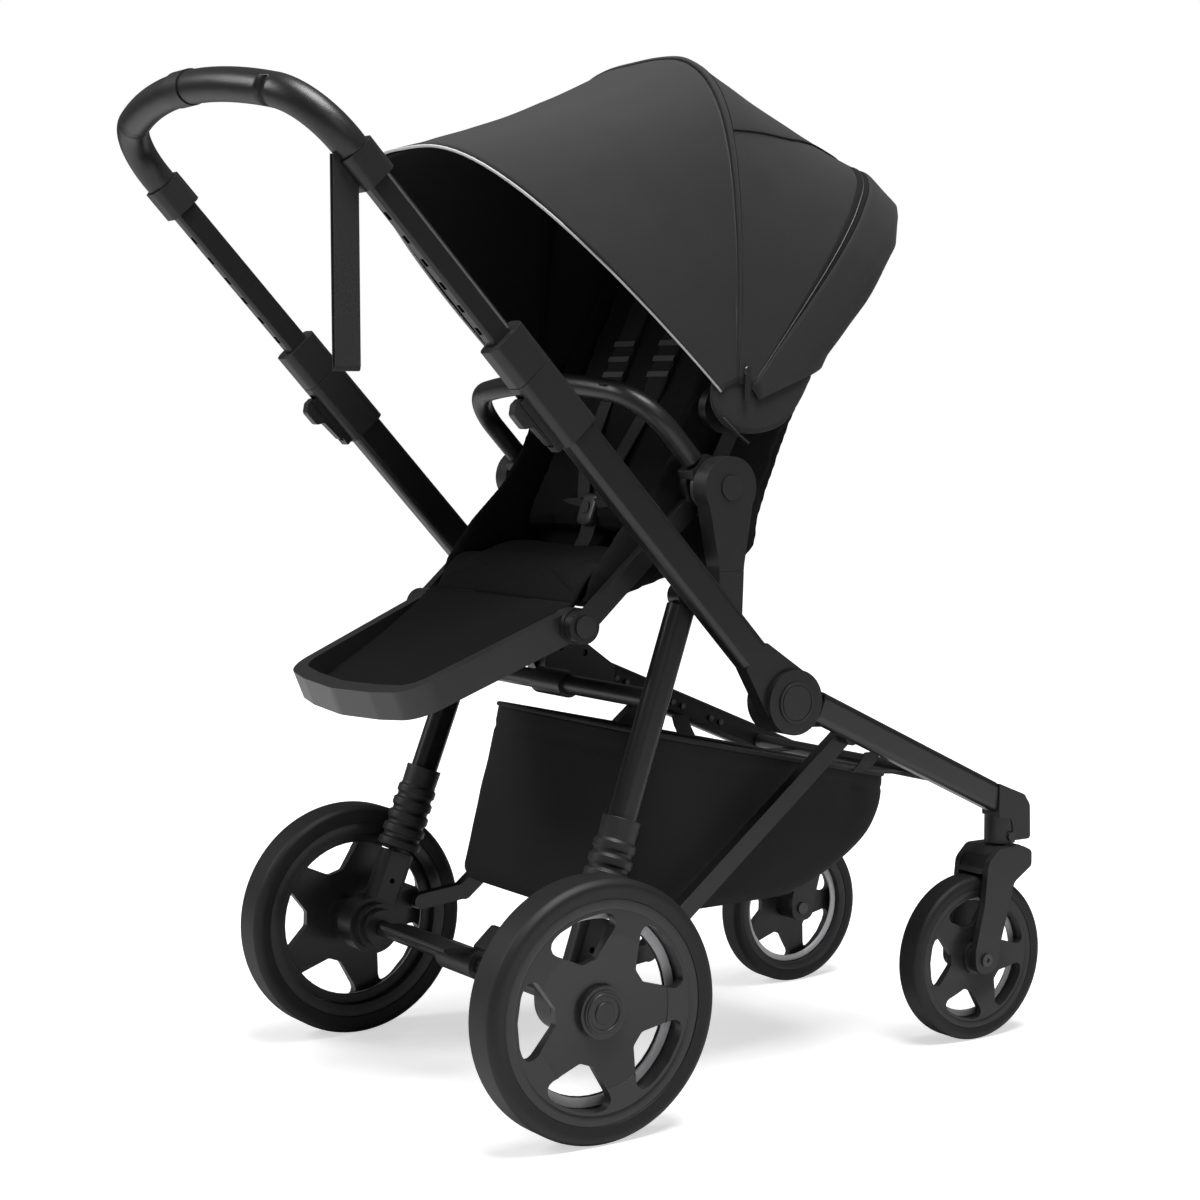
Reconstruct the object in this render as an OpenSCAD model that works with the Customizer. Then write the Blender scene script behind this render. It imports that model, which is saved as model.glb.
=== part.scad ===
// Baby stroller with a parent-facing seat on a folding aluminium chassis.
// Millimetres. X runs across the stroller, its front faces -Y and Z is up.
// Heights start at the ground. Lengths along Y are worked out from the rear wheels' axle,
// and placed() then centres the whole stroller on the origin.

/* [Wheels] */
// Rear wheel outer radius
rear_wheel_r = 127; // [120:1:130]
// Rear tyre width
rear_tyre_w = 48; // [44:1:50]
// Distance from the centre plane to a rear wheel's middle
rear_track = 246; // [246:1:256]
// Front wheel outer radius
front_wheel_r = 90.5; // [86:0.5:91]
// Front tyre width
front_tyre_w = 34; // [30:1:35]
// Distance from the centre plane to a front wheel's middle
front_track = 162; // [160:1:166]
// Distance from the rear axle forward to the front axle
wheelbase = 548; // [540:1:560]
// Distance from a caster's swivel axis back to its wheel
caster_trail = 42; // [38:1:46]

/* [Chassis] */
// Height of the chassis hinge that joins the upper and front tubes
hinge_z = 398; // [392:1:402]
// Distance from the rear axle forward to the chassis hinge
hinge_y = 254; // [248:1:258]
// Slope of the upper tubes and the handlebar
handle_slope = 47.4; // [46.5:0.1:48]
// Slope of the front tubes
front_slope = 24; // [23.5:0.5:24.5]
// Upper tube depth
tube_d = 36; // [34:1:36]
// Upper tube width
tube_w = 23; // [22:0.5:23]
// Distance from the centre plane to an upper tube's middle
tube_x = 212; // [212:0.5:213]

/* [Handlebar] */
// Distance along the slope from the chassis hinge to the grip's lower ends
grip_start = 686; // [676:1:690]
// Length of the handlebar's loop beyond the grip's lower ends
loop_len = 119; // [116:1:122]
// Grip radius
grip_r = 16; // [15:0.5:16.5]
// Radius of the handlebar's two bends
bend_r = 70; // [66:1:74]

/* [Seat] */
// Distance from the rear axle forward to the seat's hub
seat_hub_y = 194; // [190:1:196]
// Height of the seat's hub
seat_hub_z = 613; // [611:1:616]
// Distance from the centre plane to the seat side's outer face
seat_half_w = 150; // [146:1:152]
// Lean of the backrest from upright
back_lean = 25; // [23:1:26]

/* [Canopy] */
// Distance from the centre plane to the canopy's side
canopy_half_w = 184; // [180:1:185]
// Canopy cloth and lining thickness
canopy_t = 3; // [2.5:0.5:4]

/* [Hidden] */
$fn = 48;
e = 0.01;
// Half the angle left open in the middle of a bowed crossbar, where its two halves meet.
seam = 0.002;

function dir(a) = [0, cos(a), sin(a)];
function unit(v) = v / norm(v);
function lerp(a, b, t) = a + (b - a) * t;

// One rounded corner of an outline, as a short run of points.
function corner(a, b, c, r, n) =
    let (v1 = unit(a - b), v2 = unit(c - b), h = acos(v1 * v2) / 2)
    let (o = b + unit(v1 + v2) * r / sin(h))
    let (s = b + v1 * r / tan(h) - o, f = b + v2 * r / tan(h) - o)
    let (a0 = atan2(s[1], s[0]), d = atan2(f[1], f[0]) - a0)
    let (sweep = d > 180 ? d - 360 : d < -180 ? d + 360 : d)
    [for (k = [0:n]) o + r * [cos(a0 + sweep * k / n), sin(a0 + sweep * k / n)]];

function rounded(p, r, n = 5) =
    let (m = len(p))
    [for (i = [0:m - 1]) each corner(p[(i + m - 1) % m], p[i], p[(i + 1) % m], is_list(r) ? r[i] : r, n)];

// Places and directions that the parts share.
hinge = [0, -hinge_y, hinge_z];
handle_dir = dir(handle_slope);
front_dir = dir(180 + front_slope);
under = [0, sin(handle_slope), -cos(handle_slope)];
caster_y = -wheelbase - caster_trail;
leg_top = [188, -146, 508];
leg_foot = [202, -4, rear_wheel_r];
leg_dir = unit(leg_top - leg_foot);
brace_top = [180, -352, 352];
brace_knee = [180, -105, 156];
brace_foot = [180, -50, 150];
seat_hub = [0, -seat_hub_y, seat_hub_z];
foot_hub = [0, -45, 480];
canopy_hub = [0, -212, 690];
bumper_foot = [0, -170, 640];

housing_s = 369;
housing_len = 120;
housing_w = 29;
housing_d = 44.6;
slider_w = 16;
slider_d = 26;
slider_x = 209.2;
slider_start = 345;

collar_r = grip_r + 1.2;
grip_rear = -hinge_y + (grip_start + loop_len) * cos(handle_slope) + collar_r;
wheel_front = -wheelbase - front_wheel_r;
origin_shift = -(grip_rear + wheel_front) / 2;

black = [0.10, 0.10, 0.11];
satin = [0.14, 0.14, 0.15];
cloth = [0.16, 0.16, 0.17];
rubber = [0.07, 0.07, 0.07];
silver = [0.75, 0.75, 0.77];

module placed() {
    translate([0, origin_shift, 0])
    children();
}

// Copies what is drawn on the +X side to the -X side.
module both_sides() {
    children();
    mirror([1, 0, 0])
    children();
}

// Draws on the left side, +X, or mirrored on the right side.
module on_side(left) {
    if (left) {
        children();
    } else {
        mirror([1, 0, 0])
        children();
    }
}

// A disc or rod along X, from x0 to x1.
module rod(x0, x1, r) {
    translate([x0, 0, 0])
    rotate([0, 90, 0])
    cylinder(h = x1 - x0, r = r);
}

// Extrudes an outline drawn in the Y-Z plane from x0 to x1.
module slab(x0, x1) {
    translate([x0, 0, 0])
    rotate([90, 0, 90])
    linear_extrude(x1 - x0)
    children();
}

// A straight strip with round ends, drawn in the Y-Z plane from place p to place q.
module strip(p, q, d) {
    span = q - p;
    translate([p[1], p[2]])
    rotate(atan2(span[2], span[1]))
    translate([0, -d / 2])
    square([norm([span[1], span[2]]), d]);
    disc_at(p, d / 2);
    disc_at(q, d / 2);
}

module disc_at(p, r) {
    translate([p[1], p[2]])
    circle(r = r);
}

module round_rect(w, d, r) {
    square([w - 2 * r, d], center = true);
    square([w, d - 2 * r], center = true);
    for (x = [-1, 1], y = [-1, 1]) {
        translate([x * (w / 2 - r), y * (d / 2 - r)])
        circle(r = r);
    }
}

// Turns +Z to run from p to q, with the local X kept across the stroller.
module from_to(p, q) {
    span = q - p;
    translate(p)
    rotate([atan2(span[2], span[1]) - 90, 0, 0])
    rotate([0, asin(span[0] / norm(span)), 0])
    children();
}

module bar(p, q, w, d, r) {
    from_to(p, q)
    linear_extrude(norm(q - p))
    round_rect(w, d, r);
}

// A frame along a chassis tube: the origin at the hinge, Z up the handle, Y down and back.
module up_handle(x) {
    translate([x, hinge[1], hinge[2]])
    rotate([handle_slope - 90, 0, 0])
    children();
}

// A closed sheet: outer and inner are grids of points with the same rows and columns.
module sheet(outer, inner) {
    rows = len(outer);
    cols = len(outer[0]);
    n = rows * cols;
    points = concat([for (row = outer) each row], [for (row = inner) each row]);
    function quad(a, b, c, d) = [[a, b, c], [a, c, d]];
    skin_out = [for (i = [0:rows - 2], j = [0:cols - 2])
        each quad(i * cols + j, i * cols + j + 1, (i + 1) * cols + j + 1, (i + 1) * cols + j)];
    skin_in = [for (f = skin_out) [f[2] + n, f[1] + n, f[0] + n]];
    last = (rows - 1) * cols;
    rims = [for (j = [0:cols - 2]) each concat(
        quad(j + 1, j, n + j, n + j + 1),
        quad(last + j, last + j + 1, n + last + j + 1, n + last + j))];
    sides = [for (i = [0:rows - 2]) each concat(
        quad(i * cols, (i + 1) * cols, n + (i + 1) * cols, n + i * cols),
        quad((i + 2) * cols - 1, (i + 1) * cols - 1, n + (i + 1) * cols - 1, n + (i + 2) * cols - 1))];
    faces = concat(skin_out, skin_in, rims, sides);
    polyhedron(points, [for (f = faces) [f[2], f[1], f[0]]], convexity = 6);
}

// ---- wheels ----

// One window between two spokes of a wheel, as a rounded outline.
function window(r_in, r_out, half) =
    rounded(concat(
        [[r_in * cos(half * 0.3), -r_in * sin(half * 0.3)]],
        [for (k = [-1:0.5:1]) r_out * [cos(half * k), sin(half * k)]],
        [[r_in * cos(half * 0.3), r_in * sin(half * 0.3)]]),
        [r_out * 0.07, r_out * 0.1, 20, 20, 20, r_out * 0.1, r_out * 0.07], 4);

module wheel_rim(r, w, hub_w, bore_r) {
    rotate([0, 90, 0])
    difference() {
        union() {
            rotate_extrude()
            polygon([
                [r * 0.755, -w * 0.36], [r * 0.82, -w * 0.4], [r * 0.85, -w * 0.4], [r * 0.85, -w * 0.2],
                [r * 0.8, -w * 0.16], [r * 0.8, w * 0.16], [r * 0.85, w * 0.2], [r * 0.85, w * 0.4],
                [r * 0.8, w * 0.41], [r * 0.755, w * 0.36]
            ]);
            translate([0, 0, w * 0.14])
            cylinder(h = w * 0.24, r = r * 0.77);
            translate([0, 0, -hub_w / 2])
            cylinder(h = hub_w, r = r * 0.17);
        }
        for (k = [0:4]) {
            rotate([0, 0, 72 * k + 20])
            translate([0, 0, -w])
            linear_extrude(2 * w)
            polygon(window(r * 0.41, r * 0.746, 29));
        }
        translate([0, 0, w * 0.26])
        rotate_extrude()
        polygon([[r * 0.2, e], [r * 0.58, 5], [r * 0.58, 8], [r * 0.2, 8]]);
        translate([0, 0, -hub_w])
        cylinder(h = 2 * hub_w, r = bore_r);
    }
}

module wheel_tyre(r, w) {
    rotate([0, 90, 0])
    rotate_extrude()
    polygon(rounded([
        [r * 0.85 + 0.2, -w * 0.42], [r * 0.96, -w / 2], [r, -w * 0.34],
        [r, w * 0.34], [r * 0.96, w / 2], [r * 0.85 + 0.2, w * 0.42],
        [r * 0.85 + 0.2, w * 0.2], [r * 0.8 + 0.2, w * 0.16],
        [r * 0.8 + 0.2, -w * 0.16], [r * 0.85 + 0.2, -w * 0.2]
    ], [1, 7, 6, 6, 7, 1, 0.5, 0.5, 0.5, 0.5], 4));
}

module at_rear_wheel(left) {
    on_side(left)
    translate([rear_track, 0, rear_wheel_r])
    children();
}

module at_front_wheel(left) {
    on_side(left)
    translate([front_track, -wheelbase, front_wheel_r])
    children();
}

module rear_rim(left) {
    color(black)
    placed()
    at_rear_wheel(left)
    wheel_rim(rear_wheel_r, rear_tyre_w, 40, 6.05);
}

module rear_tyre(left) {
    color(rubber)
    placed()
    at_rear_wheel(left)
    wheel_tyre(rear_wheel_r, rear_tyre_w);
}

module front_rim(left) {
    color(black)
    placed()
    at_front_wheel(left)
    wheel_rim(front_wheel_r, front_tyre_w, 34, 4.05);
}

module front_tyre(left) {
    color(rubber)
    placed()
    at_front_wheel(left)
    wheel_tyre(front_wheel_r, front_tyre_w);
}

// ---- front frame ----

// Where the left front tube starts beside the hinge and ends over the caster.
front_rise = [0, 0, 9];
front_start = [211, hinge[1], hinge[2]] + 41 * front_dir + front_rise;
front_end_y = caster_y + 14;
front_end_z = hinge[2] + front_rise[2] + (front_end_y - hinge[1]) * tan(front_slope);
front_end = [front_track + 4, front_end_y, front_end_z];

// The middle of the left front tube across the stroller, at y.
function front_tube_x(y) =
    lerp(front_start[0], front_end[0], (front_start[1] - y) / (front_start[1] - front_end[1]));

module front_tubes() {
    color(satin)
    placed()
    both_sides()
    difference() {
        bar(front_start, front_end + 10 * unit(front_end - front_start), 23, 31, 7);
        from_to(front_start - 2 * unit(front_end - front_start), front_end)
        linear_extrude(360)
        round_rect(18, 26, 5);
        translate([140, caster_y + 17.4 - 100, 150])
        cube([60, 100, 200]);
        translate([0, brace_top[1], brace_top[2]])
        rod(180, 199, 9);
    }
}

// The fixed inner half of each chassis hinge, with its pin.
module hinge_plates() {
    color(black)
    placed()
    both_sides()
    difference() {
        union() {
            translate(hinge)
            rod(191, 205.4, 33);
            translate(hinge)
            rod(205.4 - e, 228, 9);
            slab(191, 194.5)
            polygon([
                [hinge[1] - 14, hinge[2] - 30], [hinge[1] - 62, hinge[2] - 33],
                [hinge[1] - 62, hinge[2] - 5], [hinge[1] - 14, hinge[2] + 30]
            ]);
        }
        for (a = [60, 150, 240]) {
            translate(hinge + 24 * dir(a))
            rod(190, 194, 4);
        }
    }
}

// The casting that closes each front tube and holds the caster's stem.
module caster_sockets() {
    color(black)
    placed()
    both_sides()
    difference() {
        union() {
            slab(front_track - 10, front_track + 18)
            polygon(rounded([
                [caster_y + 17.2, 244], [caster_y + 17.2, 281], [caster_y - 20, 266],
                [caster_y - 28, 254], [caster_y - 29, 216], [caster_y - 4, 216], [caster_y - 2, 240]
            ], [2, 1, 8, 8, 4, 4, 6]));
            translate([front_track, caster_y, 213])
            cylinder(h = 34, r = 17);
        }
        translate([front_track, caster_y, 212])
        cylinder(h = 26, r = 7.05);
        translate([front_track, caster_y, 221])
        rotate([0, 90, 0])
        cylinder(h = 30, r = 5.1);
    }
}

module caster_button(left) {
    color(satin)
    placed()
    on_side(left)
    translate([front_track, caster_y, 221])
    rod(9, 20.5, 5);
}

// The cross tube that ties the two front tubes together.
module front_cross_tube() {
    color(satin)
    placed()
    translate([0, -505, 293])
    rod(-163.5, 163.5, 8);
}

module frame_rivets() {
    color(silver)
    placed()
    both_sides()
    for (s = [72, 86, 150, 164, 204, 218]) {
        at = hinge + front_rise + s * front_dir;
        translate([front_tube_x(at[1]) - 12.3, at[1], at[2]])
        rod(-3.4, 0, 3.2);
    }
}

// ---- casters ----

module caster_fork(left) {
    leg = 8;
    inner = front_tyre_w / 2 + 2;
    crown = [for (y = [-44, -32, -16, 0, 4])
        [y - wheelbase, front_wheel_r + sqrt(pow(front_wheel_r + 3.5, 2) - y * y)]];
    color(black)
    placed()
    on_side(left)
    translate([front_track, 0, 0])
    difference() {
        union() {
            for (s = [-1, 1]) {
                slab(s > 0 ? inner : -inner - leg, s > 0 ? inner + leg : -inner)
                polygon(rounded([
                    [caster_y - 10, 211], [caster_y - 23, 205], [caster_y - 23, 188], [caster_y + 2, 172],
                    [caster_y + 22, front_wheel_r + 14], [-wheelbase - 15, front_wheel_r - 15],
                    [-wheelbase + 15, front_wheel_r - 15], [-wheelbase + 15, front_wheel_r + 12],
                    [caster_y + 45, 150], [caster_y + 40, 196], [caster_y + 24, 211]
                ], [5, 6, 6, 10, 20, 13, 13, 16, 40, 14, 10], 4));
            }
            slab(-inner - e, inner + e)
            polygon(concat(
                [[caster_y + 38, 190], [caster_y + 34, 204], [caster_y + 24, 211], [caster_y - 12, 211],
                 [caster_y - 22, 206], [caster_y - 22, 189]],
                crown));
            translate([0, caster_y, 205])
            cylinder(h = 31, r = 7);
        }
        translate([0, -wheelbase, front_wheel_r])
        rod(-40, 40, 4);
    }
}

module caster_bolt(left) {
    outer = front_tyre_w / 2 + 10;
    color(silver)
    placed()
    at_front_wheel(left) {
        rod(-outer, outer, 4);
        difference() {
            rod(outer, outer + 2.5, 7);
            rod(outer + 1, outer + 3, 2.5);
        }
        rod(-outer - 2.5, -outer, 7);
    }
}

// ---- upper frame ----

module upper_tubes() {
    color(satin)
    placed()
    both_sides()
    difference() {
        union() {
            up_handle(tube_x)
            translate([0, 0, 37])
            linear_extrude(housing_s + 40 - 37)
            round_rect(tube_w, tube_d, 7);
            translate(hinge)
            rod(205.8, 229, 33);
            slab(205.8, 223.5)
            polygon([for (p = [[10, -31.4], [66, -18.2], [66, 18.2], [10, 31.4]])
                [hinge[1] + p[0] * cos(handle_slope) + p[1] * sin(handle_slope),
                 hinge[2] + p[0] * sin(handle_slope) - p[1] * cos(handle_slope)]]);
        }
        up_handle(tube_x)
        translate([slider_x - tube_x, 0, 205])
        linear_extrude(400)
        round_rect(slider_w + 1, slider_d + 1, 4.5);
        translate(hinge)
        rod(200, 230, 9.05);
        translate(hinge)
        rod(228, 230, 21);
    }
}

module hinge_caps() {
    color(black)
    placed()
    both_sides()
    translate(hinge)
    difference() {
        rod(228.2, 230.8, 20.8);
        difference() {
            rod(229.8, 232, 18.6);
            rod(229, 233, 17.2);
        }
    }
}

// The sleeve at the top of each upper tube that the handlebar slides through.
module handle_housings() {
    color(black)
    placed()
    both_sides()
    difference() {
        union() {
            up_handle(197 + housing_w / 2)
            translate([0, 0, housing_s])
            linear_extrude(housing_len)
            round_rect(housing_w, housing_d, 9);
            up_handle(tube_x)
            translate([-7, 14, housing_s + 2])
            cube([14, 15, 62]);
        }
        up_handle(tube_x)
        translate([0, 0, housing_s - 1])
        linear_extrude(41.2)
        round_rect(tube_w + 0.2, tube_d + 0.2, 7.1);
        up_handle(slider_x)
        translate([0, 0, housing_s])
        linear_extrude(housing_len + 1)
        round_rect(slider_w + 0.8, slider_d + 0.8, 4.4);
        up_handle(tube_x)
        translate([-5.3, 20.5, housing_s + 8])
        cube([10.6, 12, 60]);
        up_handle(197 + housing_w / 2)
        translate([0, 0, housing_s + housing_len - 45])
        linear_extrude(1)
        difference() {
            square(80, center = true);
            round_rect(housing_w - 1.6, housing_d - 1.6, 8.2);
        }
    }
}

lever_pivot_s = housing_s + 16;

module fold_lever(left) {
    color(satin)
    placed()
    on_side(left)
    up_handle(tube_x)
    rotate([90, 0, 90])
    translate([0, 0, -5])
    linear_extrude(10)
    polygon(rounded([
        [24, lever_pivot_s - 5], [31, lever_pivot_s - 6],
        [33, lever_pivot_s + 22], [41, lever_pivot_s + 26],
        [41, lever_pivot_s + 44], [33, lever_pivot_s + 50], [24, lever_pivot_s + 50]
    ], [2, 3, 4, 4, 5, 3, 2], 4));
}

// The arms that carry the seat on the upper tubes.
module seat_mounts() {
    color(black)
    placed()
    both_sides()
    difference() {
        union() {
            translate(seat_hub)
            rod(178, 200.4, 31);
            slab(178, 200.4)
            polygon(rounded([
                [seat_hub[1] - 27, seat_hub[2] - 14], [seat_hub[1] - 16, seat_hub[2] - 78],
                [seat_hub[1] - 13, 464], [seat_hub[1] + 14, 493], [seat_hub[1] + 14, seat_hub[2] - 78],
                [seat_hub[1] + 26, seat_hub[2] - 16]
            ], [1, 30, 6, 6, 30, 1], 5));
        }
        translate(seat_hub)
        rod(190, 201, 12.1);
        translate(seat_hub)
        rod(170, 195, 8.05);
        translate([200, seat_hub[1] - 30, 530])
        cube([1, 60, 1]);
    }
}

module seat_button(left) {
    color(satin)
    placed()
    on_side(left)
    translate(seat_hub)
    rod(196.5, 202.4, 12);
}

// ---- handlebar ----

module at_handlebar() {
    translate(hinge)
    rotate([handle_slope - 90, 0, 0])
    children();
}

// The loop is three arcs: a bend at each side and a gently bowed crossbar that meets them smoothly.
loop_end = grip_start + loop_len;
bow_half = 16;
bow_r = bend_r + (slider_x - bend_r) / sin(bow_half);
bow_centre = loop_end - bow_r;
bend_start = bow_centre + (bow_r - bend_r) * cos(bow_half);

// The straight leg and the bend at the loop's left side: r outside, bore inside, from s0 up.
module loop_side(r, bore, s0) {
    translate([slider_x, 0, s0])
    linear_extrude(bend_start - s0)
    ring(r, bore);
    translate([slider_x - bend_r, 0, bend_start])
    rotate([90, 0, 0])
    rotate_extrude(angle = 90 - bow_half)
    translate([bend_r, 0])
    ring(r, bore);
}

// The crossbar from angle a to angle b either side of the middle.
module loop_crossbar(r, bore, a, b) {
    translate([0, 0, bow_centre])
    rotate([90, 0, 0])
    rotate([0, 0, 90 + a])
    rotate_extrude(angle = b - a)
    translate([bow_r, 0])
    ring(r, bore);
}

module ring(r, bore) {
    difference() {
        circle(r = r);
        if (bore > 0) circle(r = bore);
    }
}

module handlebar_tube() {
    color(satin)
    placed()
    at_handlebar()
    both_sides() {
        loop_side(10, 8, grip_start + 12.05);
        loop_crossbar(10, 8, -bow_half, -seam);
        translate([slider_x, 0, slider_start])
        difference() {
            linear_extrude(grip_start + 12 - slider_start)
            round_rect(slider_w, slider_d, 4);
            for (k = [0:5]) {
                translate([-3, slider_d / 2 - 6, 158 + 27.4 * k])
                cube([6, 7, 9]);
            }
        }
    }
}

module handle_grip() {
    color(rubber)
    placed()
    at_handlebar()
    both_sides() {
        loop_side(grip_r, 10.1, grip_start + 24);
        loop_crossbar(grip_r, 10.1, -bow_half, -1.6);
    }
}

// The collars that close the grip: one at each lower end, and one that carries the height button.
module grip_collars() {
    color(black)
    placed()
    at_handlebar() {
        for (s = [-1, 1]) {
            translate([s * slider_x, 0, grip_start - 10])
            difference() {
                linear_extrude(33.7)
                round_rect(29, 37, 9);
                translate([0, 0, -1])
                linear_extrude(23.2)
                round_rect(slider_w + 0.2, slider_d + 0.2, 4.1);
                translate([0, 0, 20])
                cylinder(h = 20, r = 10.1);
            }
        }
        translate([0, 0, loop_end])
        difference() {
            rod(-14.6, 14.6, collar_r);
            rod(-15, 15, 10.4);
            translate([0, -5, 0])
            rotate([90, 0, 0])
            cylinder(h = 30, r = 7.1);
        }
    }
}

module handle_button() {
    color(satin)
    placed()
    at_handlebar()
    translate([0, -12, loop_end])
    rotate([90, 0, 0])
    cylinder(h = 7.2, r = 7);
}

// A flat webbing loop that hangs from the right grip.
strap_top = hinge + (grip_start + 4) * handle_dir + 20 * under;
strap_w = 25;

module wrist_strap() {
    color(cloth)
    placed()
    translate([-slider_x, strap_top[1] + 12, strap_top[2] - 166])
    linear_extrude(166)
    round_rect(7, strap_w, 3);
}

// ---- rear legs ----

module rear_legs() {
    color(satin)
    placed()
    both_sides()
    difference() {
        union() {
            bar(leg_top - 12 * leg_dir, leg_foot + 108 * leg_dir, 21, 30, 10);
            translate([0, leg_top[1], leg_top[2]])
            rod(178.5, 198.5, 14);
        }
        from_to(leg_foot + 100 * leg_dir, leg_foot + 240 * leg_dir)
        cylinder(h = 130, r = 8.8);
        translate([0, leg_top[1], leg_top[2]])
        rod(170, 200, 5.05);
    }
}

module leg_pivot_pins() {
    color(silver)
    placed()
    both_sides()
    translate([0, leg_top[1], leg_top[2]]) {
        rod(178, 200.4, 5);
        rod(174.5, 178, 8);
    }
}

cross_at = leg_foot + 298 * leg_dir - [0, 6, 0];

module rear_cross_tube() {
    inner = cross_at[0] - 10.7;
    color(satin)
    placed()
    translate([0, cross_at[1], cross_at[2]])
    union() {
        rod(-inner, inner, 10);
        rod(-28, 28, 14);
    }
}

latch_pivot = leg_foot + 335 * leg_dir + [0, 15, 4];

module fold_latch() {
    color(black)
    placed()
    translate([leg_top[0] + 3, latch_pivot[1], latch_pivot[2]])
    difference() {
        slab(-4, 4)
        polygon(rounded([
            [10, -24], [14, -26], [9, -4], [16, 14], [1, 8]
        ], [1, 1.5, 4, 1.5, 1], 4));
        translate([0, 7, 0])
        rod(-5, 5, 1.5);
    }
}

// ---- rear axle, suspension and brake ----

module axle_housings() {
    color(black)
    placed()
    both_sides() {
        difference() {
            union() {
                translate([0, 0, rear_wheel_r]) {
                    rod(190, 219, 31);
                    rod(180, 190 + e, 25);
                    rod(172, 180 + e, 20);
                }
                bar(leg_foot + 16 * leg_dir, leg_foot + 82 * leg_dir, 22, 38, 8);
                slab(190.5, 206)
                polygon(rounded([
                    [-20, rear_wheel_r + 12], [brace_foot[1] - 9, brace_foot[2] - 9],
                    [brace_foot[1] - 4, brace_foot[2] + 13], [-22, rear_wheel_r + 50]
                ], [3, 6, 8, 3]));
                from_to(leg_foot + 80 * leg_dir, leg_foot + 180 * leg_dir)
                cylinder(h = 100, r = 8.24);
            }
            translate([0, 0, rear_wheel_r])
            rod(170, 225, 8.6);
            translate([0, leg_foot[1], leg_foot[2]] + 50 * leg_dir)
            rod(-4, 400, 3);
        }
    }
}

module axle_tube() {
    color(satin)
    placed()
    translate([0, 0, rear_wheel_r])
    union() {
        rod(-219.5, 219.5, 8.5);
        both_sides() {
            rod(219.5 - e, 225, 7.5);
            rod(225 - e, 264, 6);
        }
    }
}

// A ribbed rubber boot over each leg's sliding joint.
module bellows() {
    ribs = 5;
    pitch = 15;
    color(rubber)
    placed()
    both_sides()
    from_to(leg_foot + 86 * leg_dir, leg_foot + 200 * leg_dir)
    rotate_extrude()
    polygon(concat(
        [[17.8, 0]],
        [for (k = [0:ribs - 1]) each [
            [24 - 0.7 * k, k * pitch + 2], [24 - 0.7 * k, k * pitch + 9],
            [20.4 - 0.4 * k, k * pitch + 11.5], [20.4 - 0.4 * k, k * pitch + pitch]
        ]],
        [[19.2, ribs * pitch + 18], [17.8, ribs * pitch + 18]]));
}

// The coil inside each leg that carries the load.
module suspension_springs() {
    color(silver)
    placed()
    both_sides()
    from_to(leg_foot + 181 * leg_dir, leg_foot + 228 * leg_dir)
    rotate_extrude()
    translate([5, 0])
    square([3, 47]);
}

module brake_pedal() {
    color(black)
    placed()
    translate([0, 0, rear_wheel_r])
    difference() {
        union() {
            rod(-38, 30, 15);
            slab(-38, -8)
            polygon(rounded([
                [-12, 4], [-34, 24], [-38, 32], [-30, 33], [-8, 14]
            ], [2, 4, 3, 3, 4]));
            slab(-30, 104)
            polygon(rounded([
                [0, 9], [16, 13], [34, 14], [40, 18], [38, 21], [14, 20], [-2, 15]
            ], [3, 4, 4, 2, 2, 4, 3]));
        }
        rod(-50, 110, 8.7);
    }
}

// ---- braces ----

// Each brace is a flat bar whose lower end hooks back to the axle housing.
module braces() {
    color(satin)
    placed()
    both_sides()
    difference() {
        union() {
            slab(174, 186.5) {
                strip(brace_top, brace_knee, 19);
                strip(brace_knee, brace_foot, 17);
            }
            translate([0, brace_foot[1], brace_foot[2]])
            rod(174 + e, 189.5, 6.5);
        }
        translate([0, brace_top[1], brace_top[2]])
        rod(160, 200, 5.05);
    }
}

// The boss in each front tube, with the pin that a brace turns on.
module brace_lugs() {
    color(black)
    placed()
    both_sides()
    translate([0, brace_top[1], brace_top[2]]) {
        rod(187, 198, 8.9);
        rod(173.5, 187 + e, 5);
    }
}

// ---- basket ----

basket_t = 3;
basket_rear = -116;
basket_front = -458;

// The basket's ring at depth k, 0 at the rim and 1 at the floor, inset by t.
function basket_ring(k, t, n = 40) =
    let (rear = lerp(basket_rear, -70, k) - t, front = lerp(basket_front, -340, pow(k, 3)) + t)
    let (half = 159 - t, mid = (rear + front) / 2, long = (rear - front) / 2)
    [for (j = [0:n])
        let (a = 360 * j / n, c = cos(a), s = sin(a), p = 0.28)
        let (x = half * sign(c) * pow(abs(c), p), y = mid + long * sign(s) * pow(abs(s), p))
        let (rim = 294 + (y - basket_front) * 0.224)
        [x * (y < mid ? lerp(1, 0.96, (mid - y) / long) : 1), y, lerp(rim, 184 + t, k)]];

module basket() {
    steps = [0, 0.25, 0.5, 0.7, 0.86, 0.95, 1];
    inset = [0, 0, 0, 0, 0, 3, 16];
    color(cloth)
    placed()
    basket_wall(
        [for (i = [0:6]) basket_ring(steps[i], inset[i])],
        [for (i = [0:6]) basket_ring(steps[i], inset[i] + basket_t)]);
}

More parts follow.
